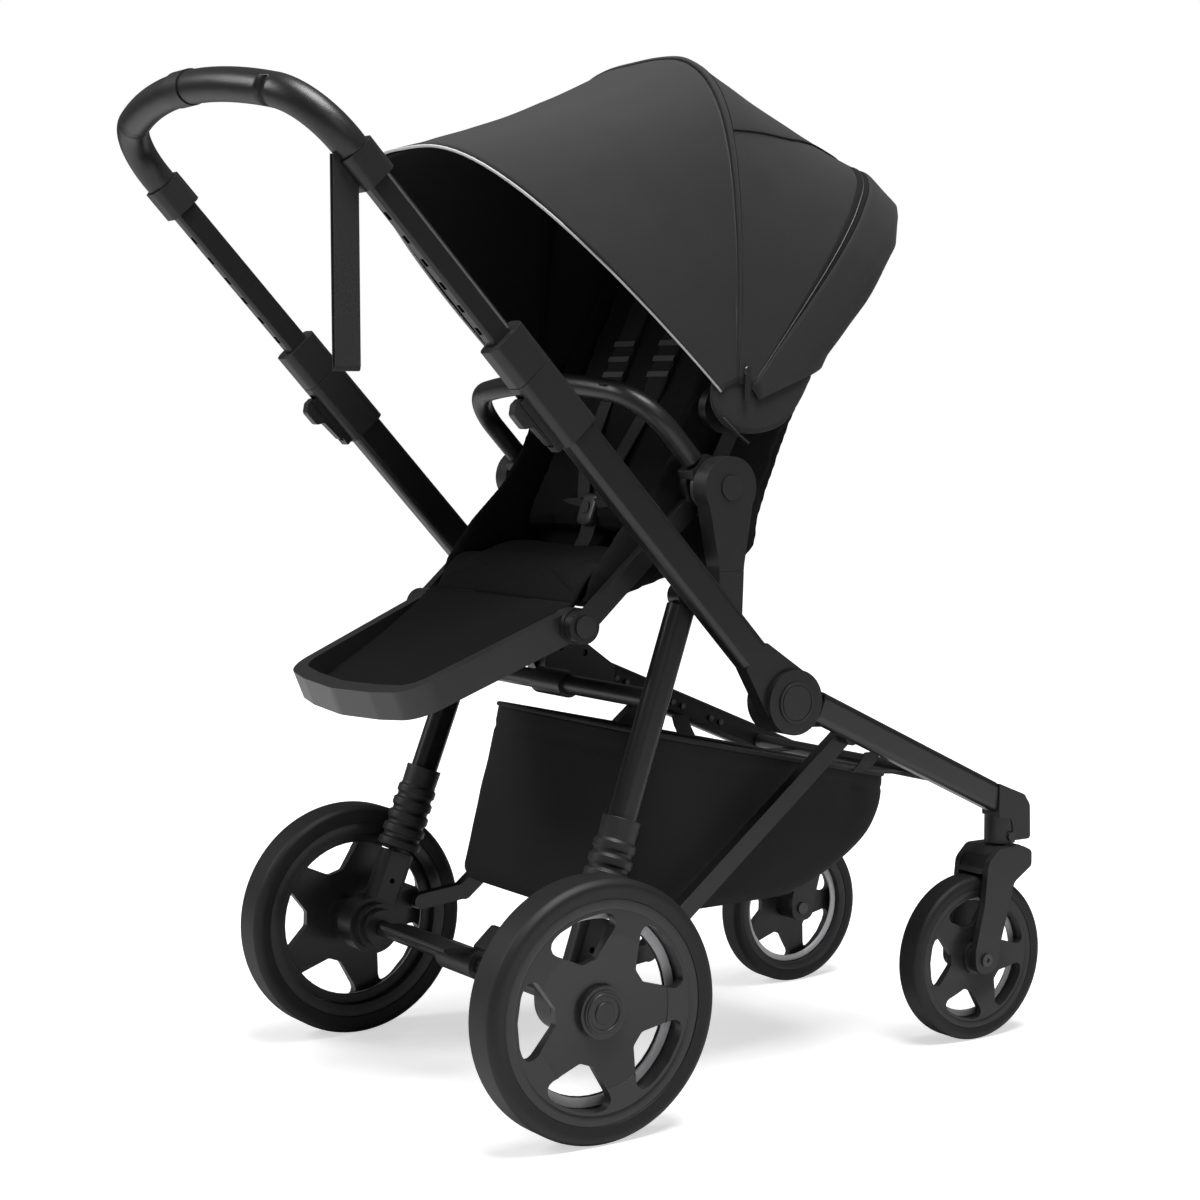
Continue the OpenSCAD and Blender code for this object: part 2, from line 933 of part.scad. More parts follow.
// A tub with closed rings: the walls, the rim, and a floor on the last ring.
module basket_wall(outer, inner) {
    rows = len(outer);
    cols = len(outer[0]) - 1;
    n = rows * cols;
    ring = function (r) [for (j = [0:cols - 1]) r[j]];
    mid_out = [0, -211, 184];
    mid_in = [0, -211, 184 + basket_t];
    points = concat([for (r = outer) each ring(r)], [for (r = inner) each ring(r)], [mid_out, mid_in]);
    function at(i, j) = i * cols + j % cols;
    wall = [for (i = [0:rows - 2], j = [0:cols - 1]) each
        [[at(i, j), at(i, j + 1), at(i + 1, j + 1)], [at(i, j), at(i + 1, j + 1), at(i + 1, j)]]];
    lining = [for (f = wall) [f[2] + n, f[1] + n, f[0] + n]];
    rim = [for (j = [0:cols - 1]) each
        [[at(0, j + 1), at(0, j), n + at(0, j)], [at(0, j + 1), n + at(0, j), n + at(0, j + 1)]]];
    floor_out = [for (j = [0:cols - 1]) [at(rows - 1, j), at(rows - 1, j + 1), 2 * n]];
    floor_in = [for (j = [0:cols - 1]) [n + at(rows - 1, j + 1), n + at(rows - 1, j), 2 * n + 1]];
    polyhedron(points, concat(wall, lining, rim, floor_out, floor_in), convexity = 6);
}

// ---- seat ----

// The toothed discs inside the seat's hubs, fixed to the seat.
module seat_ratchets() {
    color(silver)
    placed()
    both_sides()
    translate(seat_hub)
    union() {
        rod(166, 177.6, 26);
        rod(177.5, 194.5, 8);
    }
}

back_dir = [0, -sin(back_lean), cos(back_lean)];
seat_corner = [0, -150, 536];
back_top = seat_corner + 380 * back_dir;

frame_head = [0, -345, 897];

// A flat bar on each side, from the footrest's hub past the seat's hub to the head of the backrest.
module seat_frame() {
    color(satin)
    placed() {
        both_sides()
        difference() {
            union() {
                slab(152, 161)
                strip(seat_hub, frame_head, 18);
                slab(152, 164) {
                    strip(foot_hub, seat_hub, 20);
                    disc_at(seat_hub, 30);
                    disc_at(foot_hub, 17);
                    disc_at(canopy_hub, 24);
                }
                translate(foot_hub)
                rod(136, 152 + e, 11);
                translate(canopy_hub)
                rod(164 - e, 179, 8);
            }
            translate(foot_hub)
            rod(158, 165, 11.1);
        }
        translate(frame_head)
        rod(-152 - e, 152 + e, 8);
    }
}

module seat_shell() {
    outer = [
        [-52, 492], [-60, 528], [-94, 573], [-132, 610], [-158, 650], [-180, 700], [-205, 716],
        [-300, 886], [-360, 880], [-337, 738], [-322, 690], [-262, 548], [-240, 530],
        [-169, 521], [-96, 501]
    ];
    hollow = [
        [0, 482], [-62, 503], [-150, 520], [-174, 545], [back_top[1] - 38, back_top[2] + 30],
        [40, back_top[2] + 30]
    ];
    color(cloth)
    placed()
    difference() {
        slab(-seat_half_w, seat_half_w)
        polygon(rounded(outer, [4, 10, 10, 10, 20, 8, 8, 14, 14, 20, 30, 20, 16, 20, 10], 4));
        slab(-seat_half_w + 14, seat_half_w - 14)
        polygon(hollow);
        translate(foot_hub)
        rod(-seat_half_w - 1, seat_half_w + 1, 18.6);
    }
}

module seat_pad() {
    color(cloth)
    placed()
    slab(-seat_half_w + 15, seat_half_w - 15)
    polygon(rounded([
        [-54, 501.5], [-52, 515], [-86, 532], [-144, 548], [-156, 536], [-146, 520.5], [-63, 504]
    ], [2, 8, 14, 8, 4, 2, 2]));
}

module backrest_pad() {
    w = seat_half_w - 15;
    color(cloth)
    placed()
    translate([0, -171, 548])
    rotate([back_lean, 0, 0])
    translate([0, 1.5, 0])
    rotate([-90, 0, 0])
    linear_extrude(20)
    polygon(rounded([[-w, -352], [w, -352], [w, -2], [-w, -2]], [50, 50, 12, 12]));
}

// ---- canopy ----

// Crown radii of the canopy's bows and hems about its hub, by angle up from the rear.
front_bow = 43.6;
mid_bow = 91.4;
rear_hem = 160;
crown = [
    [front_bow, 373], [mid_bow, 358], [131, 336], [139, 340], [143, 316], [148, 253], [152, 200],
    [156, 165], [rear_hem, 150]
];

// The straight chord between two bows, with the cloth standing proud of it by swell.
function chord(a, p, q, swell) =
    p[1] * q[1] * sin(q[0] - p[0]) / (p[1] * sin(a - p[0]) + q[1] * sin(q[0] - a))
    + swell * sin(180 * (a - p[0]) / (q[0] - p[0]));

function crown_r(a, i = 0) =
    (i >= len(crown) - 2 || a <= crown[i + 1][0])
        ? chord(a, crown[i], crown[i + 1], i == 0 ? -10 : i == 1 ? -7 : 0)
        : crown_r(a, i + 1);

// The arch grows squarer from the front bow to the rear hem.
function rise(a) = lookup(a, [[front_bow, 0.95], [mid_bow, 0.67], [131, 0.5], [rear_hem, 0.45]]);
function spread(a) = lookup(a, [[front_bow, 0.62], [mid_bow, 0.52], [131, 0.42], [rear_hem, 0.4]]);

// A point of the canopy: bow angle a, and v from 0 at the left hem over the crown to 1 at the right.
function canopy_point(a, v, t) =
    let (u = 180 * v, c = cos(u), s = sin(u), top = crown_r(a) - t, foot = 26)
    let (r = foot + (top - foot) * pow(abs(s), rise(a)))
    let (x = (canopy_half_w - t) * sign(c) * pow(abs(c), spread(a)))
    [x, canopy_hub[1] + r * cos(a), canopy_hub[2] + r * sin(a)];

function canopy_grid(rows, t, nv = 30) =
    [for (a = rows) [for (j = [0:nv]) canopy_point(a, j / nv, t)]];

front_rows = [for (k = [0:10]) lerp(front_bow + 1.4, mid_bow - 0.2, k / 10)];
rear_rows = concat(
    [mid_bow + 0.2],
    [for (a = [97:7:125]) a],
    [131, 135, 139, 141, 143, 145.5, 148, 150, 152, 154, 156, 158, rear_hem]);

module canopy_front() {
    color(cloth)
    placed()
    sheet(canopy_grid(front_rows, 0), canopy_grid(front_rows, canopy_t));
}

module canopy_rear() {
    color(cloth)
    placed()
    sheet(canopy_grid(rear_rows, 0), canopy_grid(rear_rows, canopy_t));
}

// The bow in the canopy's front hem, which turns on the two pins of the seat frame.
module canopy_bow() {
    rows = [front_bow - 0.2, front_bow + 1.1];
    shown = function (t) [for (a = rows) [for (j = [1:29]) canopy_point(a, j / 30, t)]];
    color(satin)
    placed() {
        sheet(shown(0), shown(6));
        both_sides()
        difference() {
            slab(170, 177.6) {
                disc_at(canopy_hub, 15);
                strip(canopy_hub, canopy_hub + 44 * dir(front_bow + 4), 12);
            }
            translate(canopy_hub)
            rod(160, 190, 8.05);
        }
    }
}

// ---- footrest ----

foot_slope = 22.4;

module at_footrest() {
    translate(foot_hub)
    rotate([-foot_slope, 0, 0])
    children();
}

foot_outline = rounded([
    [-146, 8], [-129, 184], [-70, 196], [0, 202], [70, 196], [129, 184], [146, 8]
], [1, 36, 60, 90, 60, 36, 1], 12);
foot_inner = rounded([
    [-130, 7], [-114, 172], [-60, 181], [0, 186], [60, 181], [114, 172], [130, 7]
], [1, 26, 60, 90, 60, 26, 1], 8);

module footrest_frame() {
    color(black)
    placed()
    at_footrest() {
        difference() {
            union() {
                translate([0, 0, -14])
                linear_extrude(30)
                polygon(foot_outline);
                both_sides()
                rod(132, 151.4, 18);
            }
            translate([0, 0, -15])
            linear_extrude(32)
            polygon(foot_inner);
            both_sides()
            rod(130, 152, 11.05);
        }
    }
}

module footrest_button(left) {
    color(satin)
    placed()
    on_side(left)
    translate(foot_hub)
    rod(160.4, 166.5, 11);
}

module footrest_panel() {
    color(cloth)
    placed()
    at_footrest()
    translate([0, 0, -8])
    linear_extrude(16)
    polygon(rounded([
        [-127.5, 20], [-112.7, 170.5], [-60, 179.4], [0, 184.4], [60, 179.4], [112.7, 170.5], [127.5, 20]
    ], [6, 25, 60, 90, 60, 25, 6], 6));
}

// ---- bumper bar ----

bumper_slope = 47;
bumper_reach = 104;
bumper_x = 167;
bumper_bend = 55;
bumper_bow = 10;

module at_bumper() {
    translate(bumper_foot)
    rotate([bumper_slope - 90, 0, 0])
    children();
}

module bumper_bar() {
    r = 11;
    big = bumper_bend + (bumper_x - bumper_bend) / sin(bumper_bow);
    centre = bumper_reach - big;
    start = centre + (big - bumper_bend) * cos(bumper_bow);
    color(rubber)
    placed()
    at_bumper() {
        both_sides() {
            translate([bumper_x, 0, 0])
            linear_extrude(start)
            ring(r, 4);
            translate([bumper_x - bumper_bend, 0, start])
            rotate([90, 0, 0])
            rotate_extrude(angle = 90 - bumper_bow)
            translate([bumper_bend, 0])
            ring(r, 4);
            translate([0, 0, centre])
            rotate([90, 0, 0])
            rotate([0, 0, 90 - bumper_bow])
            rotate_extrude(angle = bumper_bow - seam)
            translate([big, 0])
            ring(r, 4);
        }
    }
}

// The brackets that hold the bumper bar, each set against a seat hub.
module bumper_clips() {
    color(black)
    placed()
    both_sides()
    difference() {
        slab(152, 177)
        polygon(rounded([
            [bumper_foot[1] - 11, bumper_foot[2] + 6], [bumper_foot[1] + 7, bumper_foot[2] - 11],
            [seat_hub[1] + 24, seat_hub[2] - 14], [seat_hub[1] - 4, seat_hub[2] + 28]
        ], [1, 1, 6, 6]));
        translate(seat_hub)
        rod(140, 180, 30.2);
    }
}

// ---- harness ----

// The shoulder straps down the backrest, laid on its pad.
module harness() {
    color(cloth)
    placed()
    both_sides()
    translate([42, -171, 548])
    rotate([back_lean, 0, 0])
    translate([-17, 22, 90])
    cube([34, 7, 210]);
}

module harness_buckle() {
    color(black)
    placed()
    translate([0, -112, 556])
    rotate([-20, 0, 0])
    linear_extrude(52)
    round_rect(44, 14, 5);
}

front_tubes();
front_cross_tube();
hinge_plates();
caster_sockets();
frame_rivets();
brace_lugs();
basket();
caster_button(true);  // caster_button_left
caster_button(false);  // caster_button_right
caster_fork(true);  // caster_fork_left
caster_fork(false);  // caster_fork_right
caster_bolt(true);  // caster_bolt_left
caster_bolt(false);  // caster_bolt_right
front_rim(true);  // front_rim_left
front_rim(false);  // front_rim_right
front_tyre(true);  // front_tyre_left
front_tyre(false);  // front_tyre_right
upper_tubes();
hinge_caps();
handle_housings();
fold_lever(true);  // fold_lever_left
fold_lever(false);  // fold_lever_right
seat_mounts();
seat_button(true);  // seat_button_left
seat_button(false);  // seat_button_right
handlebar_tube();
handle_grip();
grip_collars();
handle_button();
wrist_strap();
rear_legs();
leg_pivot_pins();
rear_cross_tube();
fold_latch();
axle_housings();
axle_tube();
bellows();
suspension_springs();
brake_pedal();
rear_rim(true);  // rear_rim_left
rear_rim(false);  // rear_rim_right
rear_tyre(true);  // rear_tyre_left
rear_tyre(false);  // rear_tyre_right
braces();
seat_ratchets();
seat_frame();
seat_shell();
seat_pad();
backrest_pad();
canopy_front();
canopy_rear();
canopy_bow();
footrest_frame();
footrest_panel();
bumper_bar();
footrest_button(true);  // footrest_button_left
footrest_button(false);  // footrest_button_right
bumper_clips();
harness();
harness_buckle();
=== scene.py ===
"""The looks of a folding baby stroller with a parent-facing seat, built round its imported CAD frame."""

import math

import bmesh
import bpy
import numpy as np
from mathutils import Matrix, Vector, noise


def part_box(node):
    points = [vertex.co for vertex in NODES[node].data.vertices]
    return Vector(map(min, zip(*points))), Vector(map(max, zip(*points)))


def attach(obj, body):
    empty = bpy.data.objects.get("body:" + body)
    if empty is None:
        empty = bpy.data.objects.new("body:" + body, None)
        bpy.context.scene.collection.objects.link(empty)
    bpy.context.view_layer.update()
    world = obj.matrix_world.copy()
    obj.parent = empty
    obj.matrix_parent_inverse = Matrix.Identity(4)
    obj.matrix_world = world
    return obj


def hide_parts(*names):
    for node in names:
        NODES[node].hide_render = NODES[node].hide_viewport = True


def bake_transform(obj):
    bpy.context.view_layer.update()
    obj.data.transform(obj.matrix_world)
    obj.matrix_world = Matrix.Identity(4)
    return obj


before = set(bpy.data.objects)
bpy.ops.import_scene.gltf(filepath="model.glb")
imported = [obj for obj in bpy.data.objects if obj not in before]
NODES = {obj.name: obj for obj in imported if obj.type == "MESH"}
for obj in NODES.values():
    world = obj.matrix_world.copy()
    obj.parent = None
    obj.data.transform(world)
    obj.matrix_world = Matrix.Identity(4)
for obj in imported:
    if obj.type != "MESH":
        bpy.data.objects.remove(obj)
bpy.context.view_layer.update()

MM = 0.001
low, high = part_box("rear_tyre_left")
AXLE_Y = (low.y + high.y) / 2
REAR_TRACK = (low.x + high.x) / 2
REAR_R = (high.z - low.z) / 2
low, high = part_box("front_tyre_left")
FRONT_TRACK = (low.x + high.x) / 2
FRONT_Y = (low.y + high.y) / 2
FRONT_R = (high.z - low.z) / 2


def place(x, y, z):
    """A place given in millimetres: across, back from the rear axle, and up from the ground."""
    return Vector((x * MM, y * MM + AXLE_Y, z * MM))


# ---- shared places, in millimetres ----

HINGE = (-254, 398)
HANDLE_SLOPE = math.radians(47.4)
SLIDER_X = 209.2
GRIP_START = 686
CANOPY_HUB = (-212, 690)
FOOT_HUB = (-45, 480)
BACK_LEAN = math.radians(25)


def up_handle(s, off=0.0):
    """(y, z) a distance s up the handlebar from the chassis hinge, and off below its middle."""
    c, n = math.cos(HANDLE_SLOPE), math.sin(HANDLE_SLOPE)
    return HINGE[0] + s * c + off * n, HINGE[1] + s * n - off * c


# ---- materials ----


def material(name, color, roughness, metallic=0.0, sheen=0.0, coat=0.0, shine=0.5):
    """A Principled material with constant values; bump and mottle are added by grain()."""
    m = bpy.data.materials.new(name)
    m.use_nodes = True
    s = m.node_tree.nodes["Principled BSDF"]
    s.inputs["Base Color"].default_value = (*color, 1)
    s.inputs["Roughness"].default_value = roughness
    s.inputs["Metallic"].default_value = metallic
    s.inputs["Sheen Weight"].default_value = sheen
    s.inputs["Sheen Roughness"].default_value = 0.5
    s.inputs["Coat Weight"].default_value = coat
    s.inputs["Specular IOR Level"].default_value = shine
    return m


def grain(m, scale, strength, distance, dark=None, light=None):
    """Adds a fine noise bump, and a mottle between two colours if they are given."""
    t = m.node_tree
    shader = t.nodes["Principled BSDF"]
    where = t.nodes.new("ShaderNodeTexCoord")
    tex = t.nodes.new("ShaderNodeTexNoise")
    tex.inputs["Scale"].default_value = scale
    tex.inputs["Detail"].default_value = 4
    t.links.new(where.outputs["Object"], tex.inputs["Vector"])
    bump = t.nodes.new("ShaderNodeBump")
    bump.inputs["Strength"].default_value = strength
    bump.inputs["Distance"].default_value = distance
    t.links.new(tex.outputs["Fac"], bump.inputs["Height"])
    t.links.new(bump.outputs["Normal"], shader.inputs["Normal"])
    if dark:
        ramp = t.nodes.new("ShaderNodeValToRGB")
        ramp.color_ramp.elements[0].position = 0.35
        ramp.color_ramp.elements[1].position = 0.65
        ramp.color_ramp.elements[0].color = (*dark, 1)
        ramp.color_ramp.elements[1].color = (*light, 1)
        t.links.new(tex.outputs["Fac"], ramp.inputs["Fac"])
        t.links.new(ramp.outputs["Color"], shader.inputs["Base Color"])
    return m


def grey(v):
    return (v, v, v * 1.03)


TUBE = grain(material("satin_tube", grey(0.009), 0.34), 900, 0.06, 0.0002)
PLASTIC = grain(material("black_plastic", grey(0.013), 0.42), 1400, 0.12, 0.0002)
SOFT_PLASTIC = material("dark_button", grey(0.018), 0.36)
RIM_PLASTIC = grain(material("rim_plastic", grey(0.016), 0.34), 1400, 0.12, 0.0002)
STEEL = material("steel", grey(0.45), 0.3, metallic=1.0)
POLISHED = material("polished_edge", grey(0.7), 0.22, metallic=1.0)
TYRE = grain(material("tyre_rubber", grey(0.010), 0.55, shine=0.35), 500, 0.12, 0.0004)
BOOT = material("boot_rubber", grey(0.013), 0.5)
GRIP = grain(material("leatherette", grey(0.012), 0.36), 700, 0.3, 0.0005)
STEEL_DARK = material("dark_steel", grey(0.08), 0.35, metallic=0.9)
PALE = material("reflective_ring", grey(0.62), 0.35)
PIPING = material("pale_piping", grey(0.5), 0.5)
CANOPY = grain(
    material("canopy_cloth", grey(0.03), 0.88, sheen=0.05), 1100, 0.3, 0.0003, grey(0.012), grey(0.0165)
)
LINING = grain(material("lining_cloth", grey(0.014), 0.95, shine=0.15), 1100, 0.3, 0.0003)
SEAT_CLOTH = grain(
    material("seat_cloth", grey(0.005), 0.95, shine=0.12), 900, 0.35, 0.0004, grey(0.0055), grey(0.0085)
)
BASKET_CLOTH = grain(
    material("basket_cloth", grey(0.010), 0.8, shine=0.3), 1000, 0.3, 0.0003, grey(0.009), grey(0.013)
)
WEBBING = grain(material("webbing", grey(0.014), 0.85), 1600, 0.5, 0.0004)
STRIPE = material("webbing_stripe", grey(0.045), 0.8)

# ---- mesh helpers ----


def make(name, points, faces, mat, body, slot, smooth=True, kinds=None):
    """A mesh piece that rides on a body. kinds gives a material number for each face."""
    mesh = bpy.data.meshes.new(name)
    mesh.from_pydata([tuple(p) for p in points], [], faces)
    mats = mat if isinstance(mat, (list, tuple)) else [mat]
    for m in mats:
        mesh.materials.append(m)
    if kinds is not None:
        mesh.polygons.foreach_set("material_index", kinds)
    mesh.polygons.foreach_set("use_smooth", [smooth] * len(mesh.polygons))
    mesh.update()
    obj = bpy.data.objects.new(name, mesh)
    bpy.context.scene.collection.objects.link(obj)
    tidy_normals(obj)
    if body:
        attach(obj, body)
    return obj


def tidy_normals(obj):
    b = bmesh.new()
    b.from_mesh(obj.data)
    bmesh.ops.recalc_face_normals(b, faces=b.faces)
    b.to_mesh(obj.data)
    b.free()


def tube_mesh(path, radius, sides=10, closed=False):
    """Points and faces of a round tube along a path. radius is a number, or a list with one per point."""
    n = len(path)
    radii = radius if isinstance(radius, (list, tuple)) else [radius] * n
    points, faces = [], []
    normal = None
    for i, p in enumerate(path):
        before = path[(i - 1) % n] if closed or i > 0 else p
        after = path[(i + 1) % n] if closed or i < n - 1 else p
        along = (after - before).normalized()
        if normal is None:
            guess = Vector((0, 0, 1)) if abs(along.z) < 0.9 else Vector((0, 1, 0))
            normal = along.cross(guess).normalized()
        normal = (normal - along * normal.dot(along)).normalized()
        other = along.cross(normal)
        for k in range(sides):
            a = 2 * math.pi * k / sides
            points.append(p + radii[i] * (math.cos(a) * normal + math.sin(a) * other))
    for i in range(n if closed else n - 1):
        for k in range(sides):
            a, b = i * sides + k, i * sides + (k + 1) % sides
            c, d = ((i + 1) % n) * sides + (k + 1) % sides, ((i + 1) % n) * sides + k
            faces.append((a, b, c, d))
    if not closed:
        faces.append(tuple(range(sides)))
        faces.append(tuple(range((n - 1) * sides, n * sides))[::-1])
    return points, faces


def tube(name, path, radius, mat, body, slot, sides=10, closed=False):
    return make(name, *tube_mesh(path, radius, sides, closed), mat, body, slot)


def ribbon(name, path, across, thick, mat, body, slot):
    """A flat strap along a path: across is the half width vector at each point, or one for all."""
    n = len(path)
    points, faces = [], []
    for i, p in enumerate(path):
        along = (path[min(i + 1, n - 1)] - path[max(i - 1, 0)]).normalized()
        half = across[i] if isinstance(across, list) else across
        up = along.cross(half).normalized() * thick / 2
        points += [p - half - up, p + half - up, p + half + up, p - half + up]
    for i in range(n - 1):
        for k in range(4):
            a, b = 4 * i + k, 4 * i + (k + 1) % 4
            faces.append((a, b, b + 4, a + 4))
    faces += [(0, 1, 2, 3), (4 * n - 4, 4 * n - 1, 4 * n - 2, 4 * n - 3)]
    return make(name, points, faces, mat, body, slot, smooth=False)


def grid_faces(rows, cols, start=0, wrap=False):
    out = []
    for i in range(rows - 1):
        for j in range(cols if wrap else cols - 1):
            a, b = start + i * cols + j, start + i * cols + (j + 1) % cols
            out.append((a, b, b + cols, a + cols))
    return out


def thick_sheet(name, rows, thickness, mats, body, slot, wrap=False):
    """A cloth of some thickness from a grid of points. The inner skin takes the second material."""
    r, c = len(rows), len(rows[0])
    grid = np.array([[tuple(p) for p in row] for row in rows])
    if wrap:
        dj = np.roll(grid, -1, 1) - np.roll(grid, 1, 1)
    else:
        dj = np.gradient(grid, axis=1)
    di = np.gradient(grid, axis=0)
    normal = np.cross(di, dj)
    length = np.linalg.norm(normal, axis=2, keepdims=True)
    normal = normal / np.maximum(length, 1e-12)
    inner = grid - normal * thickness
    n = r * c
    points = [tuple(p) for p in grid.reshape(-1, 3)] + [tuple(p) for p in inner.reshape(-1, 3)]
    outer_faces = grid_faces(r, c, 0, wrap)
    inner_faces = [(f[3] + n, f[2] + n, f[1] + n, f[0] + n) for f in outer_faces]
    rim = []
    for j in range(c if wrap else c - 1):
        k = (j + 1) % c
        rim.append((j, n + j, n + k, k))
        a, b = (r - 1) * c + j, (r - 1) * c + k
        rim.append((a, b, n + b, n + a))
    if not wrap:
        for i in range(r - 1):
            a, b = i * c, (i + 1) * c
            rim.append((a, b, n + b, n + a))
            a, b = i * c + c - 1, (i + 1) * c + c - 1
            rim.append((a, n + a, n + b, b))
    faces = outer_faces + inner_faces + rim
    kinds = [0] * len(outer_faces) + [1] * len(inner_faces) + [0] * len(rim)
    return make(name, points, faces, mats, body, slot, kinds=kinds)


def disc(name, middle, axis, radius, thick, mat, body, slot, ring=0.0, soften=0.0006):
    """A round disc, or a ring if ring gives its inner radius, with softened edges."""
    turn = Vector(axis).to_track_quat("Z", "Y").to_matrix()
    s = min(soften, thick * 0.4)
    half = thick / 2
    profile = [(radius - s, -half), (radius, -half + s), (radius, half - s), (radius - s, half)]
    if ring > 0:
        profile += [(ring + s, half), (ring, half - s), (ring, -half + s), (ring + s, -half)]
    sides = 48
    points, faces = [], []
    for k in range(sides):
        a = 2 * math.pi * k / sides
        for r, z in profile:
            points.append(middle + turn @ Vector((r * math.cos(a), r * math.sin(a), z)))
    m = len(profile)
    for k in range(sides):
        for j in range(m if ring > 0 else m - 1):
            a, b = k * m + j, k * m + (j + 1) % m
            c, d = ((k + 1) % sides) * m + (j + 1) % m, ((k + 1) % sides) * m + j
            faces.append((a, b, c, d))
    if ring <= 0:
        faces.append(tuple(k * m for k in range(sides)))
        faces.append(tuple(k * m + m - 1 for k in range(sides))[::-1])
    obj = make(name, points, faces, mat, body, slot)
    smooth_by_angle(obj)
    return obj


def smooth_by_angle(obj, degrees=35):
    obj.data.set_sharp_from_angle(angle=math.radians(degrees))


# ---- hard CAD nodes: materials and softened edges ----

LOOKS = {
    TUBE: [
        "front_tubes", "front_cross_tube", "upper_tubes", "handlebar_tube", "rear_legs",
        "rear_cross_tube", "axle_tube", "braces", "seat_frame",
    ],
    PLASTIC: [
        "hinge_plates", "caster_sockets", "brace_lugs", "caster_fork_left", "caster_fork_right",
        "front_rim_left", "front_rim_right", "handle_housings", "seat_mounts", "grip_collars",
        "axle_housings", "brake_pedal", "fold_latch", "bumper_clips", "hinge_caps",
    ],
    RIM_PLASTIC: ["rear_rim_left", "rear_rim_right", "footrest_frame"],
    SOFT_PLASTIC: [
        "caster_button_left", "caster_button_right", "seat_button_left", "seat_button_right",
        "footrest_button_left", "footrest_button_right", "handle_button", "fold_lever_left",
        "fold_lever_right",
    ],
    TYRE: ["front_tyre_left", "front_tyre_right", "rear_tyre_left", "rear_tyre_right"],
    BOOT: ["bellows"],
    GRIP: ["handle_grip", "bumper_bar"],
    STEEL: ["leg_pivot_pins", "suspension_springs", "seat_ratchets"],
    STEEL_DARK: ["frame_rivets", "caster_bolt_left", "caster_bolt_right"],
}
EDGE = 0.7 * MM


def dress(name, mat):
    obj = NODES[name]
    obj.data.materials.clear()
    obj.data.materials.append(mat)
    weld = obj.modifiers.new("weld", "WELD")
    weld.merge_threshold = 0.00002
    bevel = obj.modifiers.new("edges", "BEVEL")
    bevel.width = EDGE
    bevel.segments = 2
    bevel.limit_method = "ANGLE"
    bevel.angle_limit = math.radians(40)
    bevel.harden_normals = False
    obj.data.polygons.foreach_set("use_smooth", [True] * len(obj.data.polygons))
    smooth = obj.modifiers.new("normals", "WEIGHTED_NORMAL")
    smooth.keep_sharp = True


for look, names in LOOKS.items():
    for node_name in names:
        dress(node_name, look)

# ---- canopy ----

CANOPY_HALF = 184
FRONT_BOW, MID_BOW, REAR_HEM = 43.6, 91.4, 160.0
CROWN = [
    (FRONT_BOW, 373), (MID_BOW, 358), (131, 336), (139, 340), (143, 316), (148, 253),
    (152, 200), (156, 165), (REAR_HEM, 150),
]
SWELL = [-10, -7]
ARCH = [FRONT_BOW, MID_BOW, 131, REAR_HEM]
RISE = [0.95, 0.67, 0.5, 0.45]
SPREAD = [0.62, 0.52, 0.42, 0.40]
FOOT = 26


def crown(a):
    """The crown's distance from the canopy's hub at bow angle a, in degrees."""
    i = 0
    while i < len(CROWN) - 2 and a > CROWN[i + 1][0]:
        i += 1
    (a0, r0), (a1, r1) = CROWN[i], CROWN[i + 1]
    sine = math.sin(math.radians(a1 - a0))
    under = r0 * math.sin(math.radians(a - a0)) + r1 * math.sin(math.radians(a1 - a))
    swell = SWELL[i] if i < len(SWELL) else 0
    return r0 * r1 * sine / under + swell * math.sin(math.pi * (a - a0) / (a1 - a0))


def canopy_place(a, v, out=0.0):
    """Bow angle a in degrees; v from 0 at the left hem over the crown to 1 at the right; out is proud."""
    u = math.pi * v
    c, s = math.cos(u), abs(math.sin(u))
    rise, spread = np.interp(a, ARCH, RISE), np.interp(a, ARCH, SPREAD)
    r = FOOT + (crown(a) + out - FOOT) * s**rise
    x = (CANOPY_HALF + out) * math.copysign(abs(c) ** spread, c)
    t = math.radians(a)
    return place(x, CANOPY_HUB[0] + r * math.cos(t), CANOPY_HUB[1] + r * math.sin(t))


def even_v(a, count):
    """Values of v that step evenly along the cloth of a bow."""
    fine = [i / 400 for i in range(401)]
    line = [canopy_place(a, v) for v in fine]
    run = np.concatenate([[0], np.cumsum([(q - p).length for p, q in zip(line, line[1:])])])
    return np.interp(np.linspace(0, run[-1], count), run, fine), run[-1]


def soft_noise(p, scale, seed):
    return noise.noise(Vector((p.x * scale + seed, p.y * scale, p.z * scale)))


def step_up(t):
    return 1 / (1 + math.exp(-max(-40.0, min(40.0, t))))


def flap_edge(a):
    """How far the window flap reaches either side of the crown, as a share of the bow."""
    return float(np.interp(a, [92, 93.3, 101, 110.1, 120.6, 127], [0.27, 0.264, 0.23, 0.188, 0.11, 0.07]))


def canopy_out(a, v, p):
    """How proud the cloth stands: a ridge at the middle bow, the flap, the zip's step, and soft creases."""
    ridge = 1.8 * math.exp(-(((a - MID_BOW) / 0.7) ** 2))
    inside = step_up((flap_edge(a) - abs(v - 0.5)) * 260)
    flap = 1.6 * step_up((a - 92.2) * 4) * step_up((127.0 - a) * 4) * inside
    band = -1.2 * step_up((a - 127.4) * 5) + 2.6 * step_up((a - 130.9) * 5) + flap
    crease = 2.2 * soft_noise(p, 9, 3.1) + 0.9 * soft_noise(p, 28, 7.7)
    edge = min(1, 6 * min(v, 1 - v))
    return ridge + band + crease * edge


def on_cloth(a, v, lift):
    """A place that stands a little proud of the cloth as it lies."""
    return canopy_place(a, v, canopy_out(a, v, canopy_place(a, v)) + lift)


